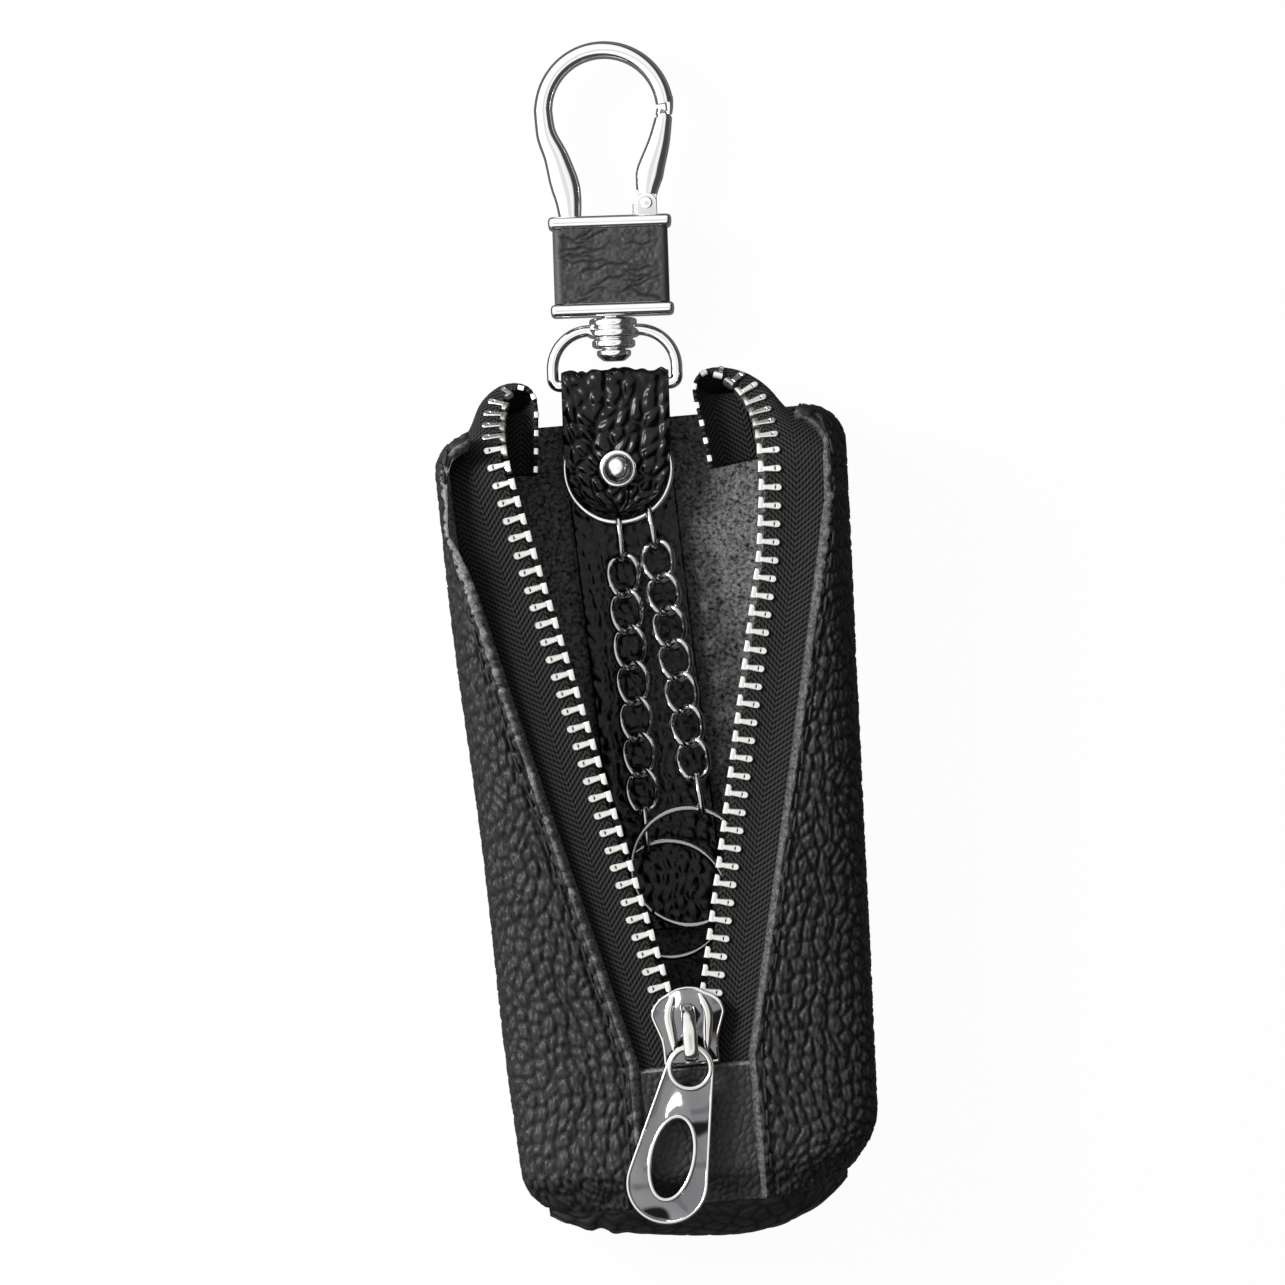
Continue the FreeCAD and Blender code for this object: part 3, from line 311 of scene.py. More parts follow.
def sweptFaces(count, sides, closed=False):
    # Faces of a bar made of rings, with its two ends capped unless it closes on itself.
    faces = [tuple(f) for f in gridFaces(count, sides, loopRows=closed, loopColumns=True)]
    if not closed:
        faces += [tuple(range(sides)), tuple(range((count - 1) * sides, count * sides))]
    return faces


def gridNormals(grid):
    along = np.gradient(grid, axis=0)
    across = np.gradient(grid, axis=1)
    made = np.cross(along, across)
    return made / np.maximum(np.linalg.norm(made, axis=2, keepdims=True), 1e-9)


def shellShape(outer, inner, slots=(0, 1, 2)):
    # A closed sheet between two grids; slots are the materials of the outer face, inner face and rim.
    rows, columns = outer.shape[:2]
    count = rows * columns
    face = gridFaces(rows, columns)
    index = np.arange(count).reshape(rows, columns)
    loop = np.concatenate([index[0, :-1], index[:-1, -1], index[-1, :0:-1], index[:0:-1, 0]])
    after = np.roll(loop, -1)
    rim = np.stack([loop, after, after + count, loop + count], axis=-1)
    faces = np.concatenate([face, face[:, ::-1] + count, rim])
    number = [slots[0]] * len(face) + [slots[1]] * len(face) + [slots[2]] * len(rim)
    return np.concatenate([outer.reshape(-1, 3), inner.reshape(-1, 3)]), faces, number


def tubeShape(path, radii, sides=12, closed=False, slot=0, flat=1.0, up=None):
    # A round or flattened wire along points, with a frame carried from point to point.
    path = np.asarray(path, float)
    count = len(path)
    radii = np.broadcast_to(np.asarray(radii, float), (count,))
    ahead = np.roll(path, -1, axis=0) - np.roll(path, 1, axis=0)
    if not closed:
        ahead[0] = path[1] - path[0]
        ahead[-1] = path[-1] - path[-2]
    ahead = unit(ahead)
    side = np.asarray(up if up is not None else (0.0, 0.0, 1.0), float)
    rings = []
    turns = fullTurn(sides)
    for i in range(count):
        first = side - ahead[i] * side.dot(ahead[i])
        first /= np.linalg.norm(first)
        second = np.cross(ahead[i], first)
        ring = np.outer(np.cos(turns) * flat, first) + np.outer(np.sin(turns), second)
        rings.append(path[i] + radii[i] * ring)
        if up is None:
            side = first
    return np.concatenate(rings), sweptFaces(count, sides, closed), slot


def latheShape(profile, sides=40):
    # Profile of (radius, height) turned about Z; a radius of zero makes a pole.
    points, faces, rings = [], [], []
    turns = fullTurn(sides)
    for radius, height in profile:
        start = len(points)
        if radius < 1e-6:
            points.append((0, 0, height))
            rings.append([start] * sides)
        else:
            points += [(radius * math.cos(a), radius * math.sin(a), height) for a in turns]
            rings.append(list(range(start, start + sides)))
    for low, high in zip(rings, rings[1:]):
        for k in range(sides):
            n = (k + 1) % sides
            face = [low[k], low[n], high[n], high[k]]
            faces.append(tuple(dict.fromkeys(face)))
    return np.array(points), faces, 0


def roundedProfile(corners, radius, steps=4):
    # Rounds the inner corners of an open profile.
    made = [corners[0]]
    for before, here, after in zip(corners, corners[1:], corners[2:]):
        a, b, c = (np.array(p, float) for p in (before, here, after))
        first, last = np.linalg.norm(a - b), np.linalg.norm(c - b)
        reach = min(radius, 0.48 * first, 0.48 * last)
        start, stop = b + (a - b) / first * reach, b + (c - b) / last * reach
        for k in range(steps + 1):
            t = k / steps
            made.append(tuple((1 - t) ** 2 * start + 2 * t * (1 - t) * b + t ** 2 * stop))
    made.append(corners[-1])
    return made


def plateShape(loops, thickness, edge, steps=3):
    # A flat plate with rounded edges; the first loop is its outline and the rest are holes.
    curve = bpy.data.curves.new("plateCurve", "CURVE")
    curve.dimensions = "2D"
    curve.fill_mode = "BOTH"
    curve.extrude = thickness / 2 - edge
    curve.bevel_depth = edge
    curve.bevel_resolution = steps
    curve.offset = -edge
    for loop in loops:
        spline = curve.splines.new("POLY")
        spline.points.add(len(loop) - 1)
        spline.points.foreach_set("co", [c for x, y in loop for c in (x, y, 0, 1)])
        spline.use_cyclic_u = True
    holder = bpy.data.objects.new("plateHolder", curve)
    bpy.context.scene.collection.objects.link(holder)
    bpy.context.view_layer.update()
    mesh = bpy.data.meshes.new_from_object(holder.evaluated_get(bpy.context.evaluated_depsgraph_get()))
    work = bmesh.new()
    work.from_mesh(mesh)
    bmesh.ops.remove_doubles(work, verts=work.verts, dist=1e-4)
    work.verts.ensure_lookup_table()
    points = np.array([v.co for v in work.verts])
    faces = [tuple(v.index for v in f.verts) for f in work.faces]
    work.free()
    bpy.data.objects.remove(holder)
    bpy.data.curves.remove(curve)
    bpy.data.meshes.remove(mesh)
    return points, faces, 0


def moved(shape, matrix):
    points, faces, slot = shape
    turn = np.array(matrix.to_3x3())
    return np.asarray(points, float) @ turn.T + np.array(matrix.translation), faces, slot


def arcPoints(centre, radius, start, stop, steps):
    turns = [math.radians(start + (stop - start) * k / steps) for k in range(steps + 1)]
    return [(centre[0] + radius * math.cos(a), centre[1] + radius * math.sin(a)) for a in turns]


def smoothLine(corners, count):
    # Points at even spacing along a smooth curve through the corners.
    p = np.asarray(corners, float)
    p = np.vstack([2 * p[0] - p[1], p, 2 * p[-1] - p[-2]])
    dense = []
    for i in range(1, len(p) - 2):
        for t in np.linspace(0, 1, 40, endpoint=False):
            dense.append(0.5 * (2 * p[i] + (p[i + 1] - p[i - 1]) * t
                                + (2 * p[i - 1] - 5 * p[i] + 4 * p[i + 1] - p[i + 2]) * t ** 2
                                + (3 * p[i] - p[i - 1] - 3 * p[i + 1] + p[i + 2]) * t ** 3))
    dense.append(p[-2])
    return evenLine(dense, count)


def evenLine(corners, count):
    # Points at even spacing along straight pieces, for outlines that already have their arcs.
    p = np.asarray(corners, float)
    walked = walkedAlong(p)
    spots = np.linspace(0, walked[-1], count)
    return np.stack([np.interp(spots, walked, p[:, k]) for k in range(p.shape[1])], axis=1)


def scatter(i, j, seed):
    wave = np.sin(i * 127.1 + j * 311.7 + seed * 74.7) * 43758.5453
    return wave - np.floor(wave)


def pebbleRelief(u, v, cellU, cellV, seed):
    # Cell pattern over a surface in millimetres: 1 on top of a pebble, 0 in the creases between them.
    u = u + 0.45 * cellU * np.sin(v / (1.9 * cellV) + seed) + 0.22 * cellU * np.sin(v / (0.63 * cellV))
    v = v + 0.45 * cellV * np.sin(u / (2.3 * cellU) + 2 * seed) + 0.22 * cellV * np.sin(u / (0.71 * cellU))
    x, y = u / cellU, v / cellV
    i, j = np.floor(x), np.floor(y)
    near = np.full(x.shape, 9.0)
    second = np.full(x.shape, 9.0)
    for di in (-1, 0, 1):
        for dj in (-1, 0, 1):
            px = i + di + 0.1 + 0.8 * scatter(i + di, j + dj, seed)
            py = j + dj + 0.1 + 0.8 * scatter(j + dj, i + di, seed + 11)
            far = np.hypot(x - px, y - py)
            second = np.where(far < near, near, np.minimum(second, far))
            near = np.minimum(near, far)
    rise = np.clip((second - near) / 0.3, 0, 1)
    dome = 1 - np.clip(near / 0.9, 0, 1) ** 2
    return rise * rise * (3 - 2 * rise) * (0.35 + 0.65 * dome)


def softBumps(u, v, size, seed):
    # Smooth swellings over a surface in millimetres, from 0 to 1.
    x, y = u / size, v / size
    i, j = np.floor(x), np.floor(y)
    fx, fy = gentle(0, 1, x - i), gentle(0, 1, y - j)
    low = scatter(i, j, seed) * (1 - fx) + scatter(i + 1, j, seed) * fx
    high = scatter(i, j + 1, seed) * (1 - fx) + scatter(i + 1, j + 1, seed) * fx
    return low * (1 - fy) + high * fy


def gentle(a, b, t):
    t = np.clip((t - a) / (b - a), 0, 1)
    return t * t * (3 - 2 * t)


def surfaceRun(grid, axis):
    # Distance walked along one direction of a grid, for patterns that follow the surface.
    step = np.linalg.norm(np.diff(grid, axis=axis), axis=2)
    start = np.zeros_like(np.take(step, [0], axis=axis))
    return np.concatenate([start, np.cumsum(step, axis=axis)], axis=axis)


# Pouch leather

pouch = {
    "thick": 1.2, "top": 54.2, "foot": -50.3, "widest": 54.4, "wideTop": 27.8, "wideFoot": 23.8,
    "bulge": 1.2, "shoulder": 17.6, "front": 21.2, "edgeFoot": 8.4, "edgeStart": -31.0, "edgeTop": 41.0,
    "lip": {-1: 0.5, 1: 2.2}, "cornerTop": 1.2, "cornerLeft": 6.0, "cornerRight": 11.0, "topRound": 5.7,
    "bevel": {-1: 1.2, 1: 0.75}, "bevelReach": 1.2, "relief": 0.62, "cell": 2.2, "fineShare": 0.46,
    "swell": 0.22, "groove": 1.15, "grooveWidth": 0.3, "grooveDepth": 0.3, "rows": 300, "columns": 150}


def halfWidth(y):
    share = (y - pouch["foot"]) / (pouch["widest"] - pouch["foot"])
    return pouch["wideFoot"] + share * (pouch["wideTop"] - pouch["wideFoot"])


def topInset(y):
    # How far the upper corners round inwards near the open end.
    up = np.clip(y - (pouch["top"] + 0.2 - pouch["topRound"]), 0, pouch["topRound"])
    return pouch["topRound"] - np.sqrt(pouch["topRound"] ** 2 - up ** 2 + 1e-9)


def cutEdgeAt(y, side):
    # The open mouth leans a little to the left, so the left lip lies closer to the outline than the
    # right one.
    top = halfWidth(pouch["edgeTop"]) - pouch["lip"][side]
    share = np.clip((y - pouch["edgeStart"]) / (pouch["edgeTop"] - pouch["edgeStart"]), 0, 1)
    edge = np.minimum(pouch["edgeFoot"] + share * (top - pouch["edgeFoot"]),
                      halfWidth(y) - pouch["lip"][side])
    return edge - topInset(y)


cornerPull = {"height": 2.4, "fromX": 9, "widthX": 13, "fromY": -38, "depthY": 12}


def cornerLift(x, y):
    # The lower right corner is pulled up a little where the gusset is sewn in.
    outward = np.clip((x - cornerPull["fromX"]) / cornerPull["widthX"], 0, 1)
    downward = gentle(0, 1, (cornerPull["fromY"] - y) / cornerPull["depthY"])
    return cornerPull["height"] * outward ** 2 * downward


def sidePanelGrid(side, rows, columns):
    corner = pouch["cornerLeft"] if side < 0 else pouch["cornerRight"]
    grid = np.zeros((rows, columns, 3))
    for i in range(rows):
        y = pouch["foot"] + (pouch["top"] - pouch["foot"]) * i / (rows - 1)
        up = max(corner - (y - pouch["foot"]), 0.0)
        inset = corner - math.sqrt(max(corner ** 2 - up ** 2, 0.0))
        pulled = float(topInset(y))
        wide = halfWidth(y) - 0.8 * inset - pulled
        foot = wide - pouch["bulge"]
        edge = min(float(cutEdgeAt(y, side)), foot + 0.6)
        drop = 2.6 * gentle(0, 1, np.array(1 - (y - pouch["foot"]) / 5.5))
        shoulder = pouch["shoulder"] - drop
        front = pouch["front"] - 0.8 * drop
        room = foot - edge
        section = smoothLine([
            (foot, pouch["thick"] * 0.6), (wide + 0.1, 4.2), (wide + 0.1, 0.72 * shoulder),
            (foot + 0.25, shoulder), (edge + 0.62 * room, shoulder + 0.72 * (front - shoulder)),
            (edge, front)], columns)
        walked = walkedAlong(section)
        left = walked[-1] - walked
        turn = np.maximum(pouch["cornerTop"] - left, 0)
        cut = pouch["cornerTop"] - np.sqrt(pouch["cornerTop"] ** 2 - turn ** 2)
        share = i / (rows - 1)
        grid[i, :, 0] = side * section[:, 0]
        grid[i, :, 1] = y - cut * gentle(0.85, 1.0, share)
        grid[i, :, 2] = section[:, 1]
        grid[i, :, 1] += cornerLift(side * section[:, 0], y) * np.clip(section[:, 1] / pouch["front"], 0, 1)
    return grid


def leatherShell(grid, side, seed, cellU, cellV):
    # Adds grain to the outer face, a wall thickness inwards and a slanted raw edge at the last column.
    normal = gridNormals(grid) * side
    along, across = surfaceRun(grid, 0), surfaceRun(grid, 1)
    fromLip = across[:, -1:] - across
    wobble = pouch["swell"] * np.sin(along / 9.0 + seed) * np.sin(across / 7.0 + 2 * seed)
    fineU, fineV = pouch["fineShare"] * cellU, pouch["fineShare"] * cellV
    grain = pebbleRelief(along + 50, across + 50, cellU, cellV, seed)
    fine = pebbleRelief(along + 20, across + 20, fineU, fineV, seed + 5)
    relief = 0.55 * grain + 0.45 * np.sqrt(grain) * fine
    inward = gentle(0, 6, fromLip)
    depth = pouch["relief"] * (relief - 1) + wobble * inward - pouch["swell"] * inward
    depth = depth - pouch["grooveDepth"] * bell(fromLip - pouch["groove"], pouch["grooveWidth"])
    outer = grid + normal * depth[:, :, None]
    reach = unit(grid[:, -1] - grid[:, -2])
    bevel = pouch["bevel"][side] * bell(fromLip, pouch["bevelReach"])
    inner = grid - normal * pouch["thick"] + reach[:, None, :] * bevel[:, :, None]
    return shellShape(outer, inner), grainOf(relief), outer


lipLines = {}
for sideName, side in (("left", -1), ("right", 1)):
    grid = sidePanelGrid(side, pouch["rows"], pouch["columns"])
    shape, grain, outer = leatherShell(grid, side, 3.0 + side, pouch["cell"], 0.8 * pouch["cell"])
    # The right lip's raw edge takes the darker copy: painted shade.
    rimLeather = cutEdge if side < 0 else shadedCutEdge
    panel = addPiece("sidePanel_" + sideName, [shape], [pebbledLeather, suedeInside, rimLeather], grain)
    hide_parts("side_panel_" + sideName)
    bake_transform(panel)
    lipLines[sideName] = outer
print("side panels ready")

backPanel = {"rows": 240, "columns": 130, "reach": 3.6, "top": 54.3, "seam": 1.6, "seamDepth": 0.3}


def makeBackPanel():
    rows, columns = backPanel["rows"], backPanel["columns"]
    grid = np.zeros((rows, columns, 3))
    for i in range(rows):
        for j in range(columns):
            s = 2 * j / (columns - 1) - 1
            low = pouch["foot"] - backPanel["reach"] * (1 - s * s)
            y = low + (backPanel["top"] - low) * i / (rows - 1)
            corner = pouch["cornerLeft"] if s < 0 else pouch["cornerRight"]
            up = min(max(corner - (y - pouch["foot"]), 0.0), corner)
            inset = 0.8 * (corner - math.sqrt(corner ** 2 - up ** 2)) + float(topInset(y))
            grid[i, j] = (s * (halfWidth(max(y, pouch["foot"])) - pouch["bulge"] - 0.2 - inset), y, 0.0)
    along, across = grid[:, :, 1], grid[:, :, 0]
    grain = pebbleRelief(along + 90, across + 90, pouch["cell"], pouch["cell"], 6.0)
    outer = grid.copy()
    outer[:, :, 2] = pouch["relief"] * (1 - grain)
    border = np.minimum(np.abs(across[:, -1:] - across), np.abs(across - across[:, :1]))
    outer[:, :, 2] += backPanel["seamDepth"] * bell(border - backPanel["seam"], 0.3)
    inner = grid.copy()
    inner[:, :, 2] = pouch["thick"] - 0.05
    piece = addPiece("backPanel", [shellShape(outer, inner)], [pebbledLeather, suedeInside, cutEdge],
                     grainOf(grain))
    return settle(piece, "pouch", "pebbled_leather", "back_panel")


makeBackPanel()

# The seam heights mark where painted shade darkens the crevice below the front panels.
bottomPanel = {
    "rows": 84, "columns": 200, "left": -20.6, "right": 19.4, "tuck": 3, "bend": 12.0, "seam": (14.5, 15.4),
    # Outline seen from above
    "outline": [(-25.0, -48.0), (-21.2, -50.4), (-16.1, -52.8), (-6.2, -54.5), (4.4, -55.3), (12.5, -54.0),
                (17.2, -51.4), (20.3, -48.6), (23.0, -44.8)],
    # How far out and how high the section runs, from the back to the front panels
    "section": [(-0.6, 1.0), (2.4, 1.6), (4.6, 4.2), (5.3, 8.0), (4.9, 11.2), (3.5, 13.4), (1.5, 14.7),
                (-0.4, 15.2), (-0.9, 16.2), (-0.9, 18.0)]}


def makeBottomPanel():
    # The gusset below the front panels: it swells out, rolls under to meet the back and turns up at
    # both corners.
    rows, columns = bottomPanel["rows"], bottomPanel["columns"]
    left, right = bottomPanel["left"], bottomPanel["right"]
    grid = np.zeros((rows, columns, 3))
    section = smoothLine(bottomPanel["section"], rows)
    furthest = bottomPanel["section"][3][0]
    rim = smoothLine(bottomPanel["outline"], 200)
    for j in range(columns):
        x = left + (right - left) * j / (columns - 1)
        # Both ends tuck in behind the corners of the side panels
        near = max(1 - (x - left) / bottomPanel["tuck"], 1 - (right - x) / bottomPanel["tuck"], 0)
        start = pouch["foot"] + 0.6 + 1.6 * near ** 2
        low = 1 - 0.8 * float(gentle(9, 18, np.array(abs(x))))
        lift = float(cornerLift(x, pouch["foot"])) / pouch["front"]
        swell = max(start - np.interp(x, rim[:, 0], rim[:, 1]), 0.2) / furthest
        pucker = 0.35 * math.exp(-((x + 14) / 3.0) ** 2) * math.sin(x * 1.7)
        pucker += 0.3 * math.exp(-((x - 13) / 2.0) ** 2)
        for i in range(rows):
            out, height = section[i]
            height = min(height, bottomPanel["bend"]) + low * max(height - bottomPanel["bend"], 0)
            fold = pucker * math.sin(math.pi * i / (rows - 1))
            grid[i, j] = (x, start + lift * height - max(out, 0) * swell - min(out, 0) + fold, height)
    normal = gridNormals(grid)
    if normal[rows // 2, columns // 2, 1] > 0:
        normal = -normal
    along, across = surfaceRun(grid, 0), surfaceRun(grid, 1)
    grain = pebbleRelief(along + 30, across + 30, 0.7 * pouch["cell"], 1.2 * pouch["cell"], 8.0)
    # Painted shade in the crevice below the front panels: the grain drops to the crease colour there, which
    # also sinks the surface a little.
    grain *= 1 - gentle(*bottomPanel["seam"], section[:, 1])[:, None]  # dark seam below the front panels
    outer = grid + normal * (0.22 * pouch["relief"] * (grain - 1))[:, :, None]
    inner = grid - normal * pouch["thick"]
    piece = addPiece("bottomPanel", [shellShape(outer, inner)], [pebbledLeather, suedeInside, darkEdge],
                     grainOf(grain))
    return settle(piece, "pouch", "pebbled_leather", "bottom_panel")


makeBottomPanel()

endPanel = {"half": 9.4, "low": -50.2, "high": -32.3, "bottom": 19.1, "top": 19.95, "rows": 110,
            "columns": 116, "sag": 1.6, "sagLength": 5.0, "cell": (1.1, 1.0), "relief": 0.14, "slant": 0.55}


def makeEndPanel():
    rows, columns = endPanel["rows"], endPanel["columns"]
    grid = np.zeros((rows, columns, 3))
    for i in range(rows):
        y = endPanel["low"] + (endPanel["high"] - endPanel["low"]) * i / (rows - 1)
        near = np.array(1 - (y - endPanel["low"]) / endPanel["sagLength"])
        sag = endPanel["sag"] * float(gentle(0, 1, near))
        for j in range(columns):
            s = 2 * j / (columns - 1) - 1
            grid[i, j] = (endPanel["half"] * s, y, endPanel["top"] - sag)
    along, across = grid[:, :, 1], grid[:, :, 0]
    grain = pebbleRelief(along + 70, across + 70, *endPanel["cell"], 12.0)
    outer = grid.copy()
    outer[:, :, 2] += endPanel["relief"] * (grain - 1)
    inner = grid.copy()
    inner[:, :, 2] -= endPanel["top"] - endPanel["bottom"]
    inner[-1, :, 1] += endPanel["slant"]  # raw edge seen from above
    piece = addPiece("zipEndPanel", [shellShape(outer, inner)], [pebbledLeather, suedeInside, cutEdge],
                     grainOf(0.6 + 0.3 * grain))
    return settle(piece, "pouch", "pebbled_leather", "zip_end_panel")


makeEndPanel()
print("back, bottom and end panels ready")


# Node trees for what repeats

def newTree(name, inputs):
    tree = bpy.data.node_groups.new(name, "GeometryNodeTree")
    tree.interface.new_socket("Geometry", in_out="INPUT", socket_type="NodeSocketGeometry")
    for label, kind in inputs:
        tree.interface.new_socket(label, in_out="INPUT", socket_type="NodeSocket" + kind)
    tree.interface.new_socket("Geometry", in_out="OUTPUT", socket_type="NodeSocketGeometry")
    return tree, node(tree, "NodeGroupInput").outputs


def pathTree(name, axis):
    # Stands one shape at even steps along a path, with the given axis pointing along it.
    tree, given = newTree(name, [("Shape", "Object"), ("Count", "Int"), ("Finish", "Material"),
                                 ("Tilt", "Float"), ("Seed", "Int")])
    curve = node(tree, "GeometryNodeMeshToCurve", {"Mesh": given["Geometry"]}).outputs[0]
    even = node(tree, "GeometryNodeResampleCurve", {"Curve": curve, "Count": given["Count"]})
    tangent = node(tree, "GeometryNodeInputTangent").outputs[0]
    ahead = node(tree, "FunctionNodeAlignRotationToVector", {"Vector": tangent}, axis=axis,
                 pivot_axis="AUTO")
    upright = node(tree, "GeometryNodeInputNamedAttribute", {"Name": "up"},
                   data_type="FLOAT_VECTOR").outputs[0]
    aligned = node(tree, "FunctionNodeAlignRotationToVector",
                   {"Rotation": ahead.outputs[0], "Vector": upright}, axis="Z", pivot_axis=axis)
    shake = node(tree, "FunctionNodeRandomValue", {"Seed": given["Seed"]}, data_type="FLOAT_VECTOR")
    amount = node(tree, "ShaderNodeVectorMath", {0: shake.outputs[0], 1: (-0.5, -0.5, -0.5)},
                  operation="ADD")
    scaled = node(tree, "ShaderNodeVectorMath", {0: amount.outputs[0], "Scale": given["Tilt"]},
                  operation="SCALE")
    turn = node(tree, "FunctionNodeRotateRotation", {0: aligned.outputs[0], 1: scaled.outputs[0]},
                rotation_space="LOCAL")
    shape = node(tree, "GeometryNodeObjectInfo", {"Object": given["Shape"]}).outputs["Geometry"]
    size = node(tree, "GeometryNodeInputNamedAttribute", {"Name": "size"}, data_type="FLOAT").outputs[0]
    stood = node(tree, "GeometryNodeInstanceOnPoints", {"Points": even.outputs[0], "Instance": shape,
                                                        "Rotation": turn.outputs[0], "Scale": size})
    real = node(tree, "GeometryNodeRealizeInstances", {0: stood.outputs[0]})
    painted = node(tree, "GeometryNodeSetMaterial",
                   {"Geometry": real.outputs[0], "Material": given["Finish"]})
    node(tree, "NodeGroupOutput", {0: painted.outputs[0]})
    return tree


def runTree(name, tree, path, settings, material, ups=None, sizes=None):
    # Lays the tree along a path in millimetres and keeps the result as a plain mesh.
    host = bpy.data.meshes.new(name + "Path")
    points = [tuple(c * mm for c in p) for p in path]
    host.from_pydata(points, [(i, i + 1) for i in range(len(path) - 1)], [])
    ups = np.array(ups if ups is not None else [(0.0, 0.0, 1.0)] * len(path), np.float32)
    host.attributes.new("up", "FLOAT_VECTOR", "POINT").data.foreach_set("vector", ups.ravel())
    sizes = np.array(sizes if sizes is not None else [1.0] * len(path), np.float32)
    host.attributes.new("size", "FLOAT", "POINT").data.foreach_set("value", sizes)
    holder = bpy.data.objects.new(name + "Holder", host)
    bpy.context.scene.collection.objects.link(holder)
    modifier = holder.modifiers.new("nodes", "NODES")
    modifier.node_group = tree
    sockets = {item.name: item.identifier for item in tree.interface.items_tree if item.in_out == "INPUT"}
    for label, value in {**settings, "Finish": material}.items():
        modifier[sockets[label]] = value
    bpy.context.view_layer.update()
    mesh = bpy.data.meshes.new_from_object(holder.evaluated_get(bpy.context.evaluated_depsgraph_get()))
    holder.modifiers.remove(modifier)
    bpy.data.objects.remove(holder)
    mesh.name = name
    mesh.polygons.foreach_set("use_smooth", [True] * len(mesh.polygons))
    made = bpy.data.objects.new(name, mesh)
    bpy.context.scene.collection.objects.link(made)
    return made


def patternShape(name, shapes, material):
    # A shape that a tree repeats; it is removed again before the end.
    made = addPiece(name, shapes, [material])
    patterns.append(made)
    return made


patterns = []
alongTree = pathTree("placeAlongPath", "Y")


# Stitches in the groove beside the raw edges

stitch = {"length": 2.3, "radius": 0.24, "pitch": 2.9, "sink": 0.04, "run": 103}
stitchHalf = stitch["length"] / 2
capsule = [(0, -stitchHalf), (0.7 * stitch["radius"], -stitchHalf + 0.08),
           (stitch["radius"], -stitchHalf + 0.3), (stitch["radius"], stitchHalf - 0.3),
           (0.7 * stitch["radius"], stitchHalf - 0.08), (0, stitchHalf)]
alongY = Matrix.Rotation(math.radians(-90), 4, "X")  # turns a lathe's height onto Y
stitchShape = patternShape("stitchPattern", [moved(latheShape(capsule, 6), alongY)], threadMaterial)
for sideName, side in (("left", -1), ("right", 1)):
    outer = lipLines[sideName]
    across = surfaceRun(outer, 1)
    fromLip = across[:, -1:] - across
    line = []
    for i in range(6, len(outer) - 8, 3):
        j = int(np.argmin(np.abs(fromLip[i] - pouch["groove"])))
        line.append(outer[i, j] + np.array((0, 0, stitch["radius"] - stitch["sink"])))
    count = int(stitch["run"] / stitch["pitch"])
    seam = runTree("lipStitches_" + sideName, alongTree, line, {
        "Shape": stitchShape, "Count": count, "Tilt": 0.12, "Seed": 4}, threadMaterial)
    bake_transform(seam)
print("stitches ready")


# Zip: tapes, teeth, slider and pull tab

zipSizes = {
    "height": 18.5, "foot": -30.6, "offset": 1.5, "lean": 12.27, "straight": {-1: 78.0, 1: 66.0},
    "thick": 0.5, "pitch": 2.4, "tail": 7.0, "points": 620}

# Free ends of the rows, which droop over the open end and turn in beside the strap: x, y, z of the
# teeth, then how far the teeth tip and how far the tape beyond them rolls under, as shares of a right
# angle.
rowEnds = {
    -1: [(-18.9, 50.2, 17.6, 0.0, 0.05), (-19.1, 53.0, 15.2, 0.03, 0.3), (-18.9, 55.4, 12.3, 0.1, 0.7),
         (-18.2, 57.6, 9.8, 0.25, 0.9), (-16.9, 59.2, 8.6, 0.55, 0.9), (-15.2, 59.7, 8.4, 0.85, 0.8),
         (-13.8, 58.9, 8.9, 1.0, 0.8), (-13.3, 56.8, 9.6, 1.05, 0.8), (-13.7, 52.3, 9.9, 1.1, 0.8),
         (-14.2, 47.5, 9.9, 1.1, 0.8)],
    1: [(16.3, 39.5, 18.5, 0.0, 0.0), (16.8, 44.0, 18.5, 0.0, 0.0), (16.95, 47.8, 17.9, 0.0, 0.0),
        (16.9, 50.7, 15.9, 0.02, 0.15), (16.5, 53.3, 13.0, 0.06, 0.5), (15.6, 55.8, 10.4, 0.18, 0.85),
        (13.7, 58.1, 8.7, 0.45, 0.9), (11.2, 59.5, 8.2, 0.78, 0.8), (9.0, 59.3, 8.8, 1.0, 0.8),
        (8.0, 57.2, 9.6, 1.05, 0.8), (8.7, 52.6, 9.9, 1.1, 0.8), (9.5, 46.5, 9.9, 1.1, 0.8)]}


def rowRun(side):
    # Points of the row of teeth, the way out to the tape's free edge, the tape's upper side, the
    # distance walked and how far the tape rolls under.
    lean = math.radians(zipSizes["lean"])
    corners = [(side * (zipSizes["offset"] + along * math.sin(lean)),
                zipSizes["foot"] + along * math.cos(lean),
                zipSizes["height"], 0.0, 0.0)
               for along in np.linspace(-zipSizes["tail"], zipSizes["straight"][side], 15)]
    line = smoothLine(corners + rowEnds[side], zipSizes["points"])
    points, hang = line[:, :3], line[:, 3:4] * math.pi / 2
    ahead = unit(np.gradient(points, axis=0))
    level = unit(side * np.column_stack([ahead[:, 1], -ahead[:, 0], 0 * ahead[:, 0]]))
    out = np.cos(hang) * level - np.sin(hang) * np.array((0, 0, 1.0))
    out = unit(out - ahead * np.sum(out * ahead, axis=1, keepdims=True))
    return points, out, side * np.cross(out, ahead), walkedAlong(points) - zipSizes["tail"], line[:, 4]


tape = {"root": -0.6, "curlWidth": 8.0, "footWidth": 8.9, "most": 11.5, "tuckFoot": 3.2, "tuckTop": 0.9,
        "lift": 0.9, "columns": 30, "free": (80, 92), "clear": 2.2}


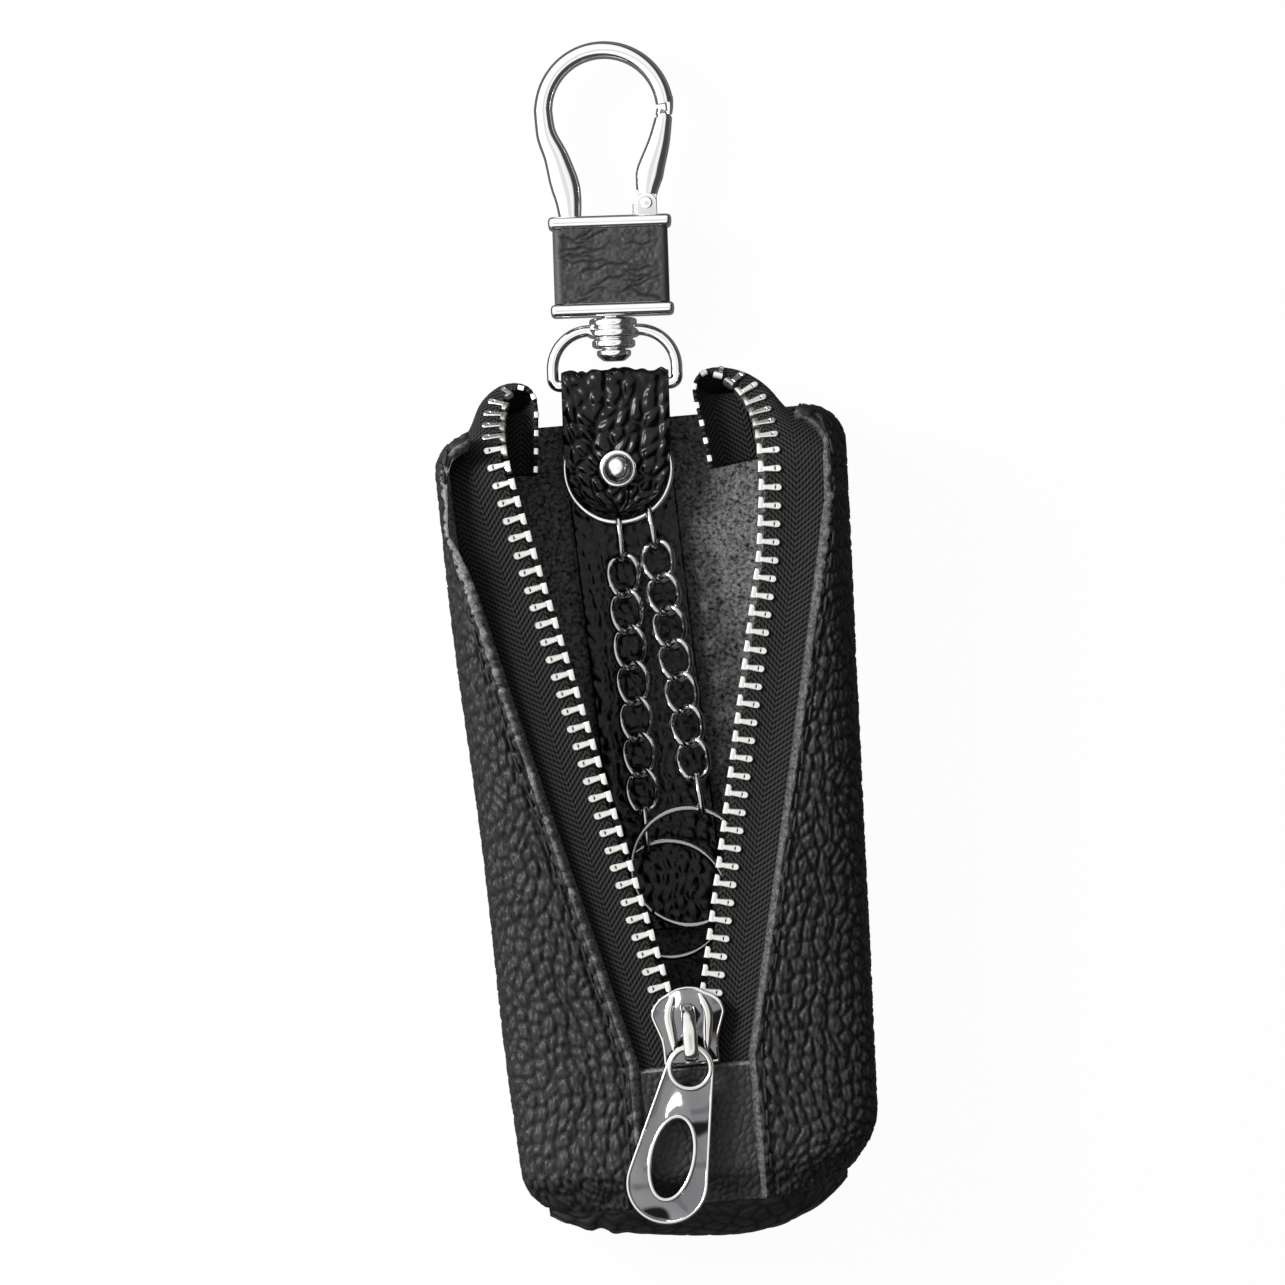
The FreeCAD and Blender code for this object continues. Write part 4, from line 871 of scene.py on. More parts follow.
def tapeWidth(point, out, along, side):
    # From the teeth to just under the leather's lip, then narrowing where the tape is free at the top.
    reach = np.linspace(1, 22, 400)
    spots = point + reach[:, None] * out
    beyond = side * spots[:, 0] >= cutEdgeAt(spots[:, 1], side)
    inside = side * spots[:, 0] <= halfWidth(spots[:, 1]) - topInset(spots[:, 1]) - tape["clear"]
    room = reach[inside][-1] if inside.any() else reach[0]
    toLip = reach[np.argmax(beyond)] if beyond.any() else tape["curlWidth"]
    tuck = tape["tuckFoot"] + (tape["tuckTop"] - tape["tuckFoot"]) * float(gentle(35, 70, along))
    free = float(gentle(*tape["free"], along))
    return min(toLip + tuck, room, tape["most"]) * (1 - free) + tape["curlWidth"] * free


def bendZip(piece, replaced):
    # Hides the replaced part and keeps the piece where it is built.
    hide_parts(replaced)
    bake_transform(piece)


for sideName, side in (("left", -1), ("right", 1)):
    points, outs, ups, walked, roll = rowRun(side)
    rows = np.arange(0, zipSizes["points"], 3)
    grid = np.zeros((len(rows), tape["columns"], 3))
    normal = np.zeros((len(rows), tape["columns"], 3))
    uv = np.zeros((len(rows), tape["columns"], 2))
    for i, k in enumerate(rows):
        width = tape["footWidth"] + tape["tuckFoot"]
        if walked[k] > 2:
            width = tapeWidth(points[k], outs[k], walked[k], side)
        out = np.linspace(tape["root"], width, tape["columns"])
        rise = tape["lift"] * gentle(3.0, 9.0, out) * (1 - gentle(68, 82, walked[k]))
        # At the free end the tape rolls in under the loop of teeth
        turn = roll[k] * math.pi / 2 * gentle(0.8, 3.6, out)
        step = np.cos(turn)[:, None] * outs[k] - np.sin(turn)[:, None] * ups[k]
        walk = np.cumsum((step[1:] + step[:-1]) / 2 * np.diff(out)[:, None], axis=0)
        reach = tape["root"] * outs[k] + np.vstack([0 * step[:1], walk])
        grid[i] = points[k] + reach + rise[:, None] * ups[k]
        normal[i] = np.cos(turn)[:, None] * ups[k] + np.sin(turn)[:, None] * outs[k]
        uv[i] = np.column_stack([out, np.full(tape["columns"], walked[k])])
    top = grid + normal * zipSizes["thick"] / 2
    under = grid - normal * zipSizes["thick"] / 2
    shape = shellShape(top, under, (0, 0, 0))
    cloth = addPiece("zipTape_" + sideName, [shape], [twillTape],
                     uv=np.concatenate([uv.reshape(-1, 2), uv.reshape(-1, 2)]))
    bendZip(cloth, "zip_tape_" + sideName)
print("zip tapes ready")

tooth = {"length": 3.2, "head": 0.9, "headTop": 0.45, "headFoot": 1.15, "neck": 0.36, "leg": 0.5,
         "slot": (0.1, 0.24), "low": 0.28, "high": 0.66}


def toothShape():
    # One cast tooth: a tall head that hooks into the other row, and two eyed legs clamped over and
    # under the tape.
    half = tooth["length"] / 2
    neck = half - tooth["head"]
    head = [(half, tooth["headTop"]), (neck, tooth["headTop"]), (neck, -tooth["headFoot"] * 0.7),
            (neck + 0.25, -tooth["headFoot"]), (half - 0.1, -tooth["headFoot"])]
    shapes = [plateShape([head], 2 * tooth["high"], 0.24, steps=1)]
    leg = [(neck + 0.2, tooth["neck"]), (neck - 0.3, tooth["neck"])]
    leg += arcPoints((-half + tooth["leg"], 0), tooth["leg"], 90, 270, 6)
    leg += [(neck - 0.3, -tooth["neck"]), (neck + 0.2, -tooth["neck"])]
    middle = -half + tooth["leg"] + 0.35
    eye = [(middle + tooth["slot"][0] * math.cos(a), tooth["slot"][1] * math.sin(a))
           for a in np.arange(6) * math.pi / 3]
    plate = plateShape([leg, eye], tooth["high"] - tooth["low"], 0.1, steps=0)
    for way in (-1, 1):
        level = way * (tooth["high"] + tooth["low"]) / 2
        shapes.append(moved(plate, Matrix.Translation((0, 0, level))))
    return shapes


halfTurn = Matrix.Rotation(math.pi, 4, "Z")
leftTooth = patternShape("toothPatternLeft", toothShape(), toothMetal)
rightTooth = patternShape("toothPatternRight", [moved(shape, halfTurn) for shape in toothShape()],
                          toothMetal)
for sideName, side, pattern, first in (("left", -1, leftTooth, 1.0), ("right", 1, rightTooth, 1.5)):
    points, outs, ups, walked, roll = rowRun(side)
    # Cut to a whole number of pitches, so that both rows keep the same step and mesh
    steps = int((walked[-1] - first * zipSizes["pitch"]) / zipSizes["pitch"])
    spots = (first + np.linspace(0, steps, 8 * steps + 1)) * zipSizes["pitch"]
    line = np.column_stack([np.interp(spots, walked, points[:, k]) for k in range(3)])
    upright = np.column_stack([np.interp(spots, walked, ups[:, k]) for k in range(3)])
    sizes = 1 - 0.5 * gentle(walked[-1] - 20, walked[-1] - 12, spots)
    teeth = runTree("zipTeeth_" + sideName, alongTree, line, {
        "Shape": pattern, "Count": steps + 1, "Tilt": 0.0, "Seed": 1}, toothMetal, upright, sizes)
    sharpen(teeth, 40)
    bendZip(teeth, "zip_teeth_" + sideName)
print("zip teeth ready")

stop = {"half": 2.9, "low": -33.3, "high": -31.8, "bottom": 17.35, "top": 18.1}
stopOutline = roundedProfile([(-stop["half"], stop["low"]), (stop["half"], stop["low"]),
                              (stop["half"], stop["high"]), (-stop["half"], stop["high"])], 0.4)
stopPlate = plateShape([stopOutline], stop["top"] - stop["bottom"], 0.15)
stopPlace = Matrix.Translation((0, 0, (stop["top"] + stop["bottom"]) / 2))
stopPiece = addPiece("bottomStop", [moved(stopPlate, stopPlace)], [nickelPlate])
settle(sharpen(stopPiece), "pouch", "nickel", "bottom_stop")

slider = {"y": -31.6, "length": 9.8, "wing": 5.0, "footWidth": 3.7, "crown": 2.6, "plate": 0.8,
          "room": 1.25, "edge": 0.3, "bailWidth": 1.9}
sliderPlace = Matrix.Translation((0, slider["y"], zipSizes["height"]))
sliderTop = slider["room"] + slider["plate"]


def makeSlider():
    long = slider["length"]
    half = [(slider["footWidth"], 0.0), (slider["footWidth"], 0.2 * long), (3.9, 0.36 * long),
            (4.75, 0.6 * long), (slider["wing"], 0.7 * long), (4.6, 0.81 * long), (3.7, 0.9 * long),
            (slider["crown"], 0.955 * long), (1.4, 1.02 * long), (0.0, 1.04 * long)]
    outline = half[:1] + [tuple(p) for p in smoothLine(half[1:], 40)]
    outline += [(-x, y) for x, y in reversed(outline[:-1])]
    shapes = []
    for level in (-slider["room"] - slider["plate"] / 2, slider["room"] + slider["plate"] / 2):
        shapes.append(moved(plateShape([outline], slider["plate"], slider["edge"]),
                            Matrix.Translation((0, 0, level))))
    wedge = [(0, long - 3.0), (0.8, long - 1.8), (0.8, long - 0.7), (-0.8, long - 0.7), (-0.8, long - 1.8)]
    shapes.append(plateShape([wedge], 2 * slider["room"] + 0.4, 0.1))
    for way in (-1, 1):
        # Raised shoulders beside the bail
        rib = smoothLine([(way * 2.1, 1.6), (way * 2.35, 4.0), (way * 2.6, 6.6), (way * 1.75, 9.2)], 24)
        path = np.column_stack([rib, np.full(len(rib), sliderTop - 0.1)])
        swell = np.sqrt(np.clip(1 - np.linspace(-0.93, 0.93, len(rib)) ** 2, 0.05, 1))
        shapes.append(tubeShape(path, 0.75 * swell, 12, flat=0.8, slot=1))
    rim = evenLine([(0.93 * x, y + 0.03 * (long / 2 - y)) for x, y in outline + outline[:1]], 121)[:-1]
    rim = np.column_stack([rim, np.full(len(rim), sliderTop - 0.2)])
    shapes.append(tubeShape(rim, 0.26, 8, closed=True, slot=1))
    # Plates and wedge take the darkened nickel, a painted dark reflection; shoulders and rim take the bright
    # nickel.
    return addPiece("sliderBody", [moved(s, sliderPlace) for s in shapes], [paintedDarkNickel, nickelPlate])


sliderBody = makeSlider()
settle(sharpen(sliderBody, 40), "slider", "nickel", "slider_body")


def makeBail():
    top = sliderTop
    path = smoothLine([(0.8, top - 0.1), (0.75, top + 1.6), (1.2, top + 2.6), (2.6, top + 2.85),
                       (4.6, top + 2.7), (6.2, top + 1.6), (7.3, top + 0.5), (7.7, top - 0.1)], 44)
    path = np.column_stack([np.zeros(len(path)), path])
    shape = tubeShape(path, slider["bailWidth"] / 2, 16, flat=0.42, up=(0, -0.35, 1))
    return addPiece("sliderBail", [moved(shape, sliderPlace)], [nickelPlate])


settle(makeBail(), "slider", "nickel", "slider_bail")

tab = {"length": 20.9, "eye": 3.2, "eyeHole": 2.35, "foot": 5.45, "windowLong": 10.5, "windowWide": 5.05,
       "windowAt": 12.1, "thick": 1.3, "turn": 16.2, "edge": 0.42, "hangX": 0.45, "hangY": -29.4,
       "low": 21.5}


def makeTab():
    run = tab["length"] - tab["foot"]
    lean = math.degrees(math.asin((tab["foot"] - tab["eye"]) / run))
    outline = arcPoints((0, 0), tab["eye"], lean, 180 - lean, 28)
    outline += arcPoints((0, -run), tab["foot"], 180 - lean, 360 + lean, 44)
    eye = arcPoints((0, 0), tab["eyeHole"], 0, 360, 36)[:-1]
    window = [(tab["windowWide"] / 2 * math.cos(a), tab["windowLong"] / 2 * math.sin(a) - tab["windowAt"])
              for a in fullTurn(48)]
    reach = (tab["eye"] + tab["eyeHole"]) / 2
    turn = Matrix.Rotation(math.radians(-tab["turn"]), 4, "Z")
    hang = Vector((tab["hangX"], tab["hangY"], tab["low"] + tab["thick"] / 2))
    place = Matrix.Translation(hang - turn @ Vector((0, reach, 0))) @ turn
    plate = plateShape([outline, eye, window], tab["thick"] * 0.8, tab["edge"] * 0.8)
    shapes = [moved(moved(plate, Matrix.Translation((0, 0, -0.1 * tab["thick"]))), place)]
    # Raised rims round the eye, the window and the outer edge, in bright nickel beside the plate's painted
    # dark reflection
    for loop, radius, way in ((eye, 0.36, 1), (window, 0.34, 1), (outline, 0.24, -1)):
        line = evenLine(loop + loop[:1], 97)[:-1]
        ahead = loopAhead(line)
        inset = line + way * radius * np.column_stack([ahead[:, 1], -ahead[:, 0]])
        ring = np.column_stack([inset, np.full(len(inset), tab["thick"] / 2 - 0.32)])
        shapes.append(moved(tubeShape(ring, radius, 10, closed=True, slot=1), place))
    return addPiece("pullTab", shapes, [paintedDarkNickel, nickelPlate])


settle(sharpen(makeTab(), 40), "pull_tab", "nickel", "pull_tab")
print("slider and pull tab ready")


# Strap, tail, stud and wire ring, in the strap's own frame

strap = {"x": -3.1, "y": 47.8, "turn": -3.0, "half": 7.2, "endRadius": 7.0, "end": -5.9, "leather": 1.1,
         "rear": 3.55, "front": 6.45, "axis": 5.0, "fold": 11.7, "rows": 190, "columns": 84, "relief": 0.9,
         "cell": (2.1, 2.0), "foldCell": (1.9, 2.5), "pillow": 1.5, "smoothing": 4}
strapTurn = Matrix.Rotation(math.radians(strap["turn"]), 4, "Z")
strapPlace = Matrix.Translation((strap["x"], strap["y"], 0)) @ strapTurn
hookPlace = Matrix.Translation((0, 0, strap["axis"])) @ strapPlace


def strapHalf(v):
    centre = strap["end"] + strap["endRadius"]
    if v >= centre:
        return strap["half"] - 0.2 * float(gentle(0, 1, np.array((centre + 2 - v) / 2)))
    return math.sqrt(max(strap["endRadius"] ** 2 - (v - centre) ** 2, 0.04))


def makeStrap():
    radius = (strap["front"] - strap["rear"]) / 2
    flat = (strap["end"], -2.0, 4.0, 9.0)
    path = [(v, strap["rear"]) for v in flat]
    path += [(strap["fold"] + radius * math.cos(math.radians(a)),
              strap["axis"] + radius * math.sin(math.radians(a))) for a in range(-90, 91, 15)]
    path += [(v, strap["front"]) for v in reversed(flat)]
    line = evenLine(path, strap["rows"])
    ahead = unit(np.gradient(line, axis=0))
    rows, columns = strap["rows"], strap["columns"]
    middle = np.zeros((rows, columns, 3))
    normal = np.zeros((rows, columns, 3))
    for i in range(rows):
        half = strapHalf(line[i, 0])
        normal[i] = (0, ahead[i, 1], -ahead[i, 0])
        for j in range(columns):
            s = 2 * j / (columns - 1) - 1
            middle[i, j] = (half * s, line[i, 0], line[i, 1])
    run, across = surfaceRun(middle, 0), middle[:, :, 0]
    grain = pebbleRelief(run + 40, across + 40, *strap["cell"], 15.0)
    folds = pebbleRelief(0.45 * run + 12, across + 12, *strap["foldCell"], 21.0)
    near = gentle(6.5, 10.5, middle[:, :, 1])
    relief = grain * (1 - near) + (0.4 * grain + 0.6 * folds) * near
    pillows = softBumps(run + 10, across + 10, strap["pillow"], 16.0)
    relief = 0.7 * relief + 0.3 * gentle(0.25, 0.75, pillows)
    for _ in range(strap["smoothing"]):
        # Milling leaves soft pillows without hard creases
        relief[1:-1, 1:-1] = 0.4 * relief[1:-1, 1:-1] + 0.15 * (
            relief[:-2, 1:-1] + relief[2:, 1:-1] + relief[1:-1, :-2] + relief[1:-1, 2:])
    edge = gentle(0.0, 0.9, strap["half"] - np.abs(across))
    thick = strap["leather"] / 2
    outer = middle + normal * (thick - strap["relief"] * (1 - relief) - 0.3 * (1 - edge))[:, :, None]
    inner = middle - normal * thick
    piece = addPiece("strapLoop", [moved(shellShape(outer, inner), strapPlace)],
                     [strapLeather, suedeInside, darkEdge], grainOf(relief), weld=True)
    return settle(piece, "pouch", "strap_leather", "strap")


makeStrap()

tail = {"half": 7.1, "length": 62.0, "shift": 2.4, "top": 5.9, "low": 1.75, "high": 2.85, "rows": 190,
        "columns": 48, "cell": (1.9, 1.8), "relief": 0.28}


def makeTail():
    rows, columns = tail["rows"], tail["columns"]
    grid = np.zeros((rows, columns, 3))
    for i in range(rows):
        v = tail["top"] - (tail["top"] + tail["length"]) * i / (rows - 1)
        shift = tail["shift"] * max(tail["top"] - v, 0) / (tail["top"] + tail["length"])
        for j in range(columns):
            s = 2 * j / (columns - 1) - 1
            grid[i, j] = (strap["x"] + shift + tail["half"] * s, strap["y"] + v, tail["high"])
    grain = pebbleRelief(grid[:, :, 1] + 200, grid[:, :, 0] + 60, *tail["cell"], 24.0)
    outer = grid.copy()
    outer[:, :, 2] -= tail["relief"] * (1 - grain)
    inner = grid.copy()
    inner[:, :, 2] = tail["low"]
    piece = addPiece("strapTail", [shellShape(outer, inner)], [strapLeather, suedeInside, darkEdge],
                     grainOf(grain))
    return settle(piece, "pouch", "strap_leather", "strap_tail")


makeTail()

stud = {"flange": 2.5, "ball": 1.85, "post": 1.1, "base": 2.5, "face": 7.0}
ballMiddle = stud["face"] + 0.6 + 0.8 * stud["ball"]
ballArc = [(stud["ball"] * math.cos(math.radians(a)), ballMiddle + stud["ball"] * math.sin(math.radians(a)))
           for a in range(-50, 90, 10)]
flangeEdge = roundedProfile([
    (0, 2.0), (stud["post"], 2.0), (stud["post"], stud["face"]), (stud["flange"], stud["face"]),
    (stud["flange"], stud["face"] + 0.25), (stud["flange"] - 0.35, stud["face"] + 0.45),
    (ballArc[0][0], stud["face"] + 0.1)], 0.15)
studShape = latheShape(flangeEdge + ballArc + [(0, ballMiddle + stud["ball"])], 48)
settle(sharpen(addPiece("ballStud", [moved(studShape, strapPlace)], [satinNickel]), 50), "pouch", "chrome",
       "ball_stud")
baseEdge = roundedProfile([(0, 1.2), (stud["base"], 1.2), (stud["base"], 1.7), (0, 1.7)], 0.2)
baseShape = latheShape(baseEdge, 40)
settle(sharpen(addPiece("rivetBase", [moved(baseShape, strapPlace)], [chromePlate])), "pouch", "chrome",
       "rivet_base")

wireRing = {"radius": 7.08, "wire": 0.42}
ringPath = [(wireRing["radius"] * math.cos(a), wireRing["radius"] * math.sin(a), 0.0)
            for a in fullTurn(96)]
ringPiece = addPiece("wireRing", [moved(tubeShape(ringPath, wireRing["wire"], 12, closed=True), hookPlace)],
                     [steelWire])
settle(ringPiece, "wire_ring", "steel_wire", "wire_ring")
print("strap, stud and ring ready")


# D-ring, swivel and hook

dring = {"wire": 0.8, "half": 8.3, "bar": 11.3, "top": 18.6, "corner": 0.95, "shoulder": 5.1, "collar": 3.5,
         "step": 2.9, "bead": 3.2, "bore": 1.55, "length": 4.2, "post": 1.5, "button": 2.3}
collarTop = dring["top"] + 0.4 * dring["length"]
collarFoot = collarTop - dring["length"]


def makeDRing():
    half, corner, shoulder = dring["half"], dring["corner"], dring["shoulder"]
    path = arcPoints((half - corner, dring["bar"] + corner), corner, -90, 0, 8)
    path += arcPoints((half - shoulder, dring["top"] - shoulder), shoulder, 0, 90, 18)
    path += [(-x, y) for x, y in reversed(path)]
    dense = evenLine(path + path[:1], 180)[:-1]
    shapes = [tubeShape(np.column_stack([dense, np.zeros(len(dense))]), dring["wire"], 14, closed=True)]
    profile = [(dring["bore"], collarFoot)]
    for k, wide in enumerate((dring["step"], dring["collar"], dring["bead"])):
        # Three turned beads make up the collar
        low = collarFoot + dring["length"] * k / 3
        high = collarFoot + dring["length"] * (k + 1) / 3
        profile += [(wide - 0.45, low + 0.05), (wide, low + 0.3), (wide, high - 0.3),
                    (wide - 0.45, high - 0.05)]
    profile += [(dring["bore"], collarTop), (dring["bore"], collarFoot)]
    shapes.append(moved(latheShape(roundedProfile(profile, 0.25, 3), 48), alongY))
    return addPiece("dRing", [moved(s, hookPlace) for s in shapes], [chromePlate], weld=True)


settle(sharpen(makeDRing(), 50), "d_ring", "chrome", "d_ring")

buttonFace = collarFoot - 0.15
frameStart = collarTop + 0.15
postProfile = roundedProfile([
    (0, buttonFace - 1.5), (1.4, buttonFace - 1.5), (dring["button"], buttonFace - 0.75),
    (dring["button"], buttonFace), (dring["post"], buttonFace), (dring["post"], frameStart + 2.6),
    (0, frameStart + 2.6)], 0.3)
post = addPiece("swivelPost", [moved(moved(latheShape(postProfile, 40), alongY), hookPlace)],
                [chromePlate])
settle(sharpen(post, 50), "hook", "chrome", "swivel_post")

hookFrame = {"half": 8.25, "bar": 1.7, "depth": 7.4, "band": 10.0, "bandHalf": 7.7, "bandDepth": 6.8,
             "leather": 1.0, "gateX": 5.0, "pivot": 1.6, "heel": 1.4, "cheekLow": 0.7, "cheekHigh": 1.4}
bandStart = frameStart + hookFrame["bar"]
bandEnd = bandStart + hookFrame["band"]
frameEnd = bandEnd + hookFrame["bar"]
gatePivot = frameEnd + hookFrame["pivot"]


def makeFrame():
    shapes = []
    for low, high in ((frameStart, bandStart), (bandEnd, frameEnd)):
        half = hookFrame["half"]
        outline = roundedProfile([(0, low), (half, low), (half, high), (-half, high), (-half, low),
                                  (0.01, low)], 0.7)
        shapes.append(plateShape([outline[:-1]], hookFrame["depth"], 0.78, steps=5))
    half = hookFrame["bandHalf"] - hookFrame["leather"] - 0.05
    deep = hookFrame["bandDepth"] - 2 * hookFrame["leather"] - 0.1
    core = [(-half, frameStart + 0.4), (half, frameStart + 0.4), (half, frameEnd - 0.4),
            (-half, frameEnd - 0.4)]
    shapes.append(plateShape([core], deep, 0.3))
    x, heel = hookFrame["gateX"], hookFrame["heel"]
    cheek = [(x + heel, frameEnd - 0.6)] + arcPoints((x, gatePivot), heel, 0, 180, 16)
    cheek.append((x - heel, frameEnd - 0.6))
    thick = hookFrame["cheekHigh"] - hookFrame["cheekLow"]
    for way in (-1, 1):
        level = way * (hookFrame["cheekHigh"] + hookFrame["cheekLow"]) / 2
        shapes.append(moved(plateShape([cheek], thick, 0.15), Matrix.Translation((0, 0, level))))
    return addPiece("hookFrame", [moved(s, hookPlace) for s in shapes], [chromePlate])


settle(sharpen(makeFrame(), 40), "hook", "chrome", "hook_frame")

band = {"rows": 96, "columns": 300, "corner": 1.1, "relief": 0.3, "thick": 0.85, "creases": 17,
        "crease": 0.2, "seed": 11}


def makeBand():
    # Sleeve of thin leather round the frame's core, with fine creases that run across it.
    half, deep = hookFrame["bandHalf"], hookFrame["bandDepth"] / 2
    r = band["corner"]
    loop = []
    for cx, cz, start in ((half - r, deep - r, 0), (r - half, deep - r, 90), (r - half, r - deep, 180),
                          (half - r, r - deep, 270)):
        loop += arcPoints((cx, cz), r, start, start + 90, 8)
    ring = evenLine(loop + loop[:1], band["columns"] + 1)[:-1]
    ahead = loopAhead(ring)
    rows, columns = band["rows"], band["columns"]
    v = np.linspace(bandStart + 0.05, bandEnd - 0.05, rows)
    grid = np.zeros((rows, columns, 3))
    for i in range(rows):
        grid[i] = np.column_stack([ring[:, 0], np.full(columns, v[i]), ring[:, 1]])
    across = np.broadcast_to(ring[:, 0][None, :], (rows, columns))
    along = np.broadcast_to(v[:, None], (rows, columns))
    draw = np.random.default_rng(band["seed"])
    sunk = np.zeros((rows, columns))
    for k in range(band["creases"]):
        # One wandering crease, open in its middle and closing at both ends
        level = bandStart + (bandEnd - bandStart) * (k + draw.uniform(0.1, 0.9)) / band["creases"]
        phase = draw.uniform(0, 6)
        slope = draw.uniform(-0.2, 0.5)
        middle = draw.uniform(-5, 5)
        reach = draw.uniform(1.5, 4.5)
        line = level + slope * (across - middle) + 0.4 * np.sin(across * 0.7 + phase)
        line = line + 0.14 * np.sin(across * 2.4 + 2 * phase)
        width = np.exp(-((across - middle) / reach) ** 4)
        sunk = np.maximum(sunk, width * bell(along - line, band["crease"]))
    fine = 0.5 * softBumps(along + 60, 0.7 * across + 60, 0.62, 33.0)
    fine = fine + 0.5 * softBumps(along + 9, across + 9, 0.36, 34.0)
    calm = 1 - gentle(half - 1.6, half - 0.3, np.abs(across))
    relief = (1 - 0.8 * sunk * calm) * (1 - 0.6 * calm * (1 - gentle(0.1, 0.9, fine)))
    normal = np.zeros_like(grid)
    normal[:, :, 0] = ahead[:, 1]
    normal[:, :, 2] = -ahead[:, 0]
    outer = grid - normal * (band["relief"] * (1 - relief))[:, :, None]
    inner = grid - normal * band["thick"]
    points = np.concatenate([outer.reshape(-1, 3), inner.reshape(-1, 3)])
    count = rows * columns
    face = gridFaces(rows, columns, loopColumns=True)
    low = np.arange(columns)
    high = low + count - columns
    rims = []
    for edge in (low, high):
        after = np.roll(edge, -1)
        rims.append(np.stack([edge, after, after + count, edge + count], axis=-1))
    faces = np.concatenate([face, face[:, ::-1] + count] + rims)
    piece = addPiece("hookBand", [moved((points, faces, 0), hookPlace)], [bandLeather], grainOf(relief))
    return settle(piece, "hook", "grey_leather", "hook_band")


makeBand()

bow = {"radius": 8.15, "wire": 1.2, "x": -0.25, "height": 14.1, "nose": 5.6, "kink": 6.4, "kinkHalf": 1.95,
       "step": 1.5, "footHalf": 1.5, "deep": 1.2}


def flatBar(path, halves, deep, sides=28):
    # A bar of oval section whose width changes along a flat path.
    ahead = unit(np.gradient(path, axis=0))
    across = np.column_stack([ahead[:, 1], -ahead[:, 0], np.zeros(len(path))])
    turns = fullTurn(sides)
    c, z = np.cos(turns), np.sin(turns)
    middle = np.column_stack([path, np.zeros(len(path))])
    rings = [middle[i] + np.outer(c * halves[i], across[i]) + np.outer(z * deep, (0, 0, 1))
             for i in range(len(path))]
    return np.concatenate(rings), sweptFaces(len(path), sides), 0


def makeBow():
    middle = frameEnd + bow["height"]
    left = bow["x"] - bow["radius"]
    kink = frameEnd + bow["kink"]
    path = [(-5.25, frameEnd - 0.3), (-5.4, frameEnd + 2.0), (-5.65, frameEnd + 3.6), (-6.1, kink - 1.0),
            (-6.9, kink + 1.8), (left + 0.35, middle - 3.0)]
    path += arcPoints((bow["x"], middle), bow["radius"], 180, bow["nose"], 30)
    line = smoothLine(path, 150)
    grow = np.interp(line[:, 1], [frameEnd, kink - 2.6, kink - 1.2, middle - 2.0, middle + 2.0],
                     [bow["footHalf"], bow["kinkHalf"], bow["kinkHalf"], bow["wire"] * 1.08, bow["wire"]])
    grow[70:] = bow["wire"]
    shapes = [flatBar(line, grow, bow["deep"])]
    # The outer half of the nose reaches down over the gate's tip
    nose = line[-1]
    step = smoothLine([(nose[0] + 0.5, nose[1] + 0.8), (nose[0] + 0.62, nose[1] - 0.4),
                       (nose[0] + 0.56, nose[1] - bow["step"])], 14)
    shapes.append(flatBar(step, np.linspace(0.66, 0.42, 14), 0.95, 16))
    return addPiece("hookBow", [moved(shape, hookPlace) for shape in shapes], [chromePlate])


settle(sharpen(makeBow(), 60), "hook", "chrome", "hook_bow")

gate = {"length": 12.5, "lean": 2.9, "tip": 1.15, "heel": 1.4, "kinkHalf": 1.85, "deep": 1.15}


def makeGate():
    x = hookFrame["gateX"]
    tip = gatePivot + gate["length"]
    # A swelling above the heel, then a slimmer curve out to the nose
    path = smoothLine([(x + 0.1, gatePivot + 1.3), (x + 0.3, gatePivot + 2.6), (x + 0.75, gatePivot + 4.6),
                       (x + 1.95, gatePivot + 8.2), (x + gate["lean"], tip)], 70)
    halves = np.interp(path[:, 1],
                       [gatePivot + 1.3, gatePivot + 3.6, gatePivot + 4.4, tip - 2.5, tip - 1.0, tip - 0.8],
                       [gate["heel"], gate["kinkHalf"], gate["kinkHalf"], gate["tip"] * 1.12, gate["tip"],
                        0.5])
    path[:, 0] -= np.interp(path[:, 1], [tip - 1.0, tip - 0.8], [0.0, gate["tip"] - 0.5])
    shapes = [flatBar(path, halves, gate["deep"])]
    heel = gate["heel"]
    tongue = [(x + heel, gatePivot + 1.8), (x - heel, gatePivot + 1.8)]
    tongue += arcPoints((x, gatePivot), heel, 180, 360, 16)
    hole = arcPoints((x, gatePivot), 0.55, 0, 360, 20)[:-1]
    shapes.append(plateShape([tongue, hole], 1.2, 0.12))
    return addPiece("hookGate", [moved(s, hookPlace) for s in shapes], [chromePlate])


settle(sharpen(makeGate(), 50), "hook_gate", "chrome", "hook_gate")

pinEdge = [(0, -1.45), (0.5, -1.45), (0.5, 1.42), (0.85, 1.42), (0.7, 1.62), (0, 1.72)]
pinShape = latheShape(roundedProfile(pinEdge, 0.12), 24)
pinPlace = hookPlace @ Matrix.Translation((hookFrame["gateX"], gatePivot, 0))
settle(sharpen(addPiece("gatePin", [moved(pinShape, pinPlace)], [chromePlate])), "hook", "chrome",
       "gate_pin")
leaf = {"x": hookFrame["gateX"] - hookFrame["heel"] - 0.41, "length": 1.5, "half": 0.6, "thin": 0.18}
leafPath = [(leaf["x"], frameEnd + leaf["length"] * t, 0) for t in np.linspace(0, 1, 8)]
leafPoints, leafFaces, leafSlot = tubeShape(leafPath, leaf["half"], 12, up=(0, 0, 1))
leafPoints[:, 0] = leaf["x"] + leaf["thin"] * (leafPoints[:, 0] - leaf["x"])  # pressed flat
leafShape = (leafPoints, leafFaces, leafSlot)
settle(addPiece("gateSpring", [moved(leafShape, hookPlace)], [steelWire]), "hook", "steel_wire",
       "gate_spring")
print("hook ready")


# Chains and key rings

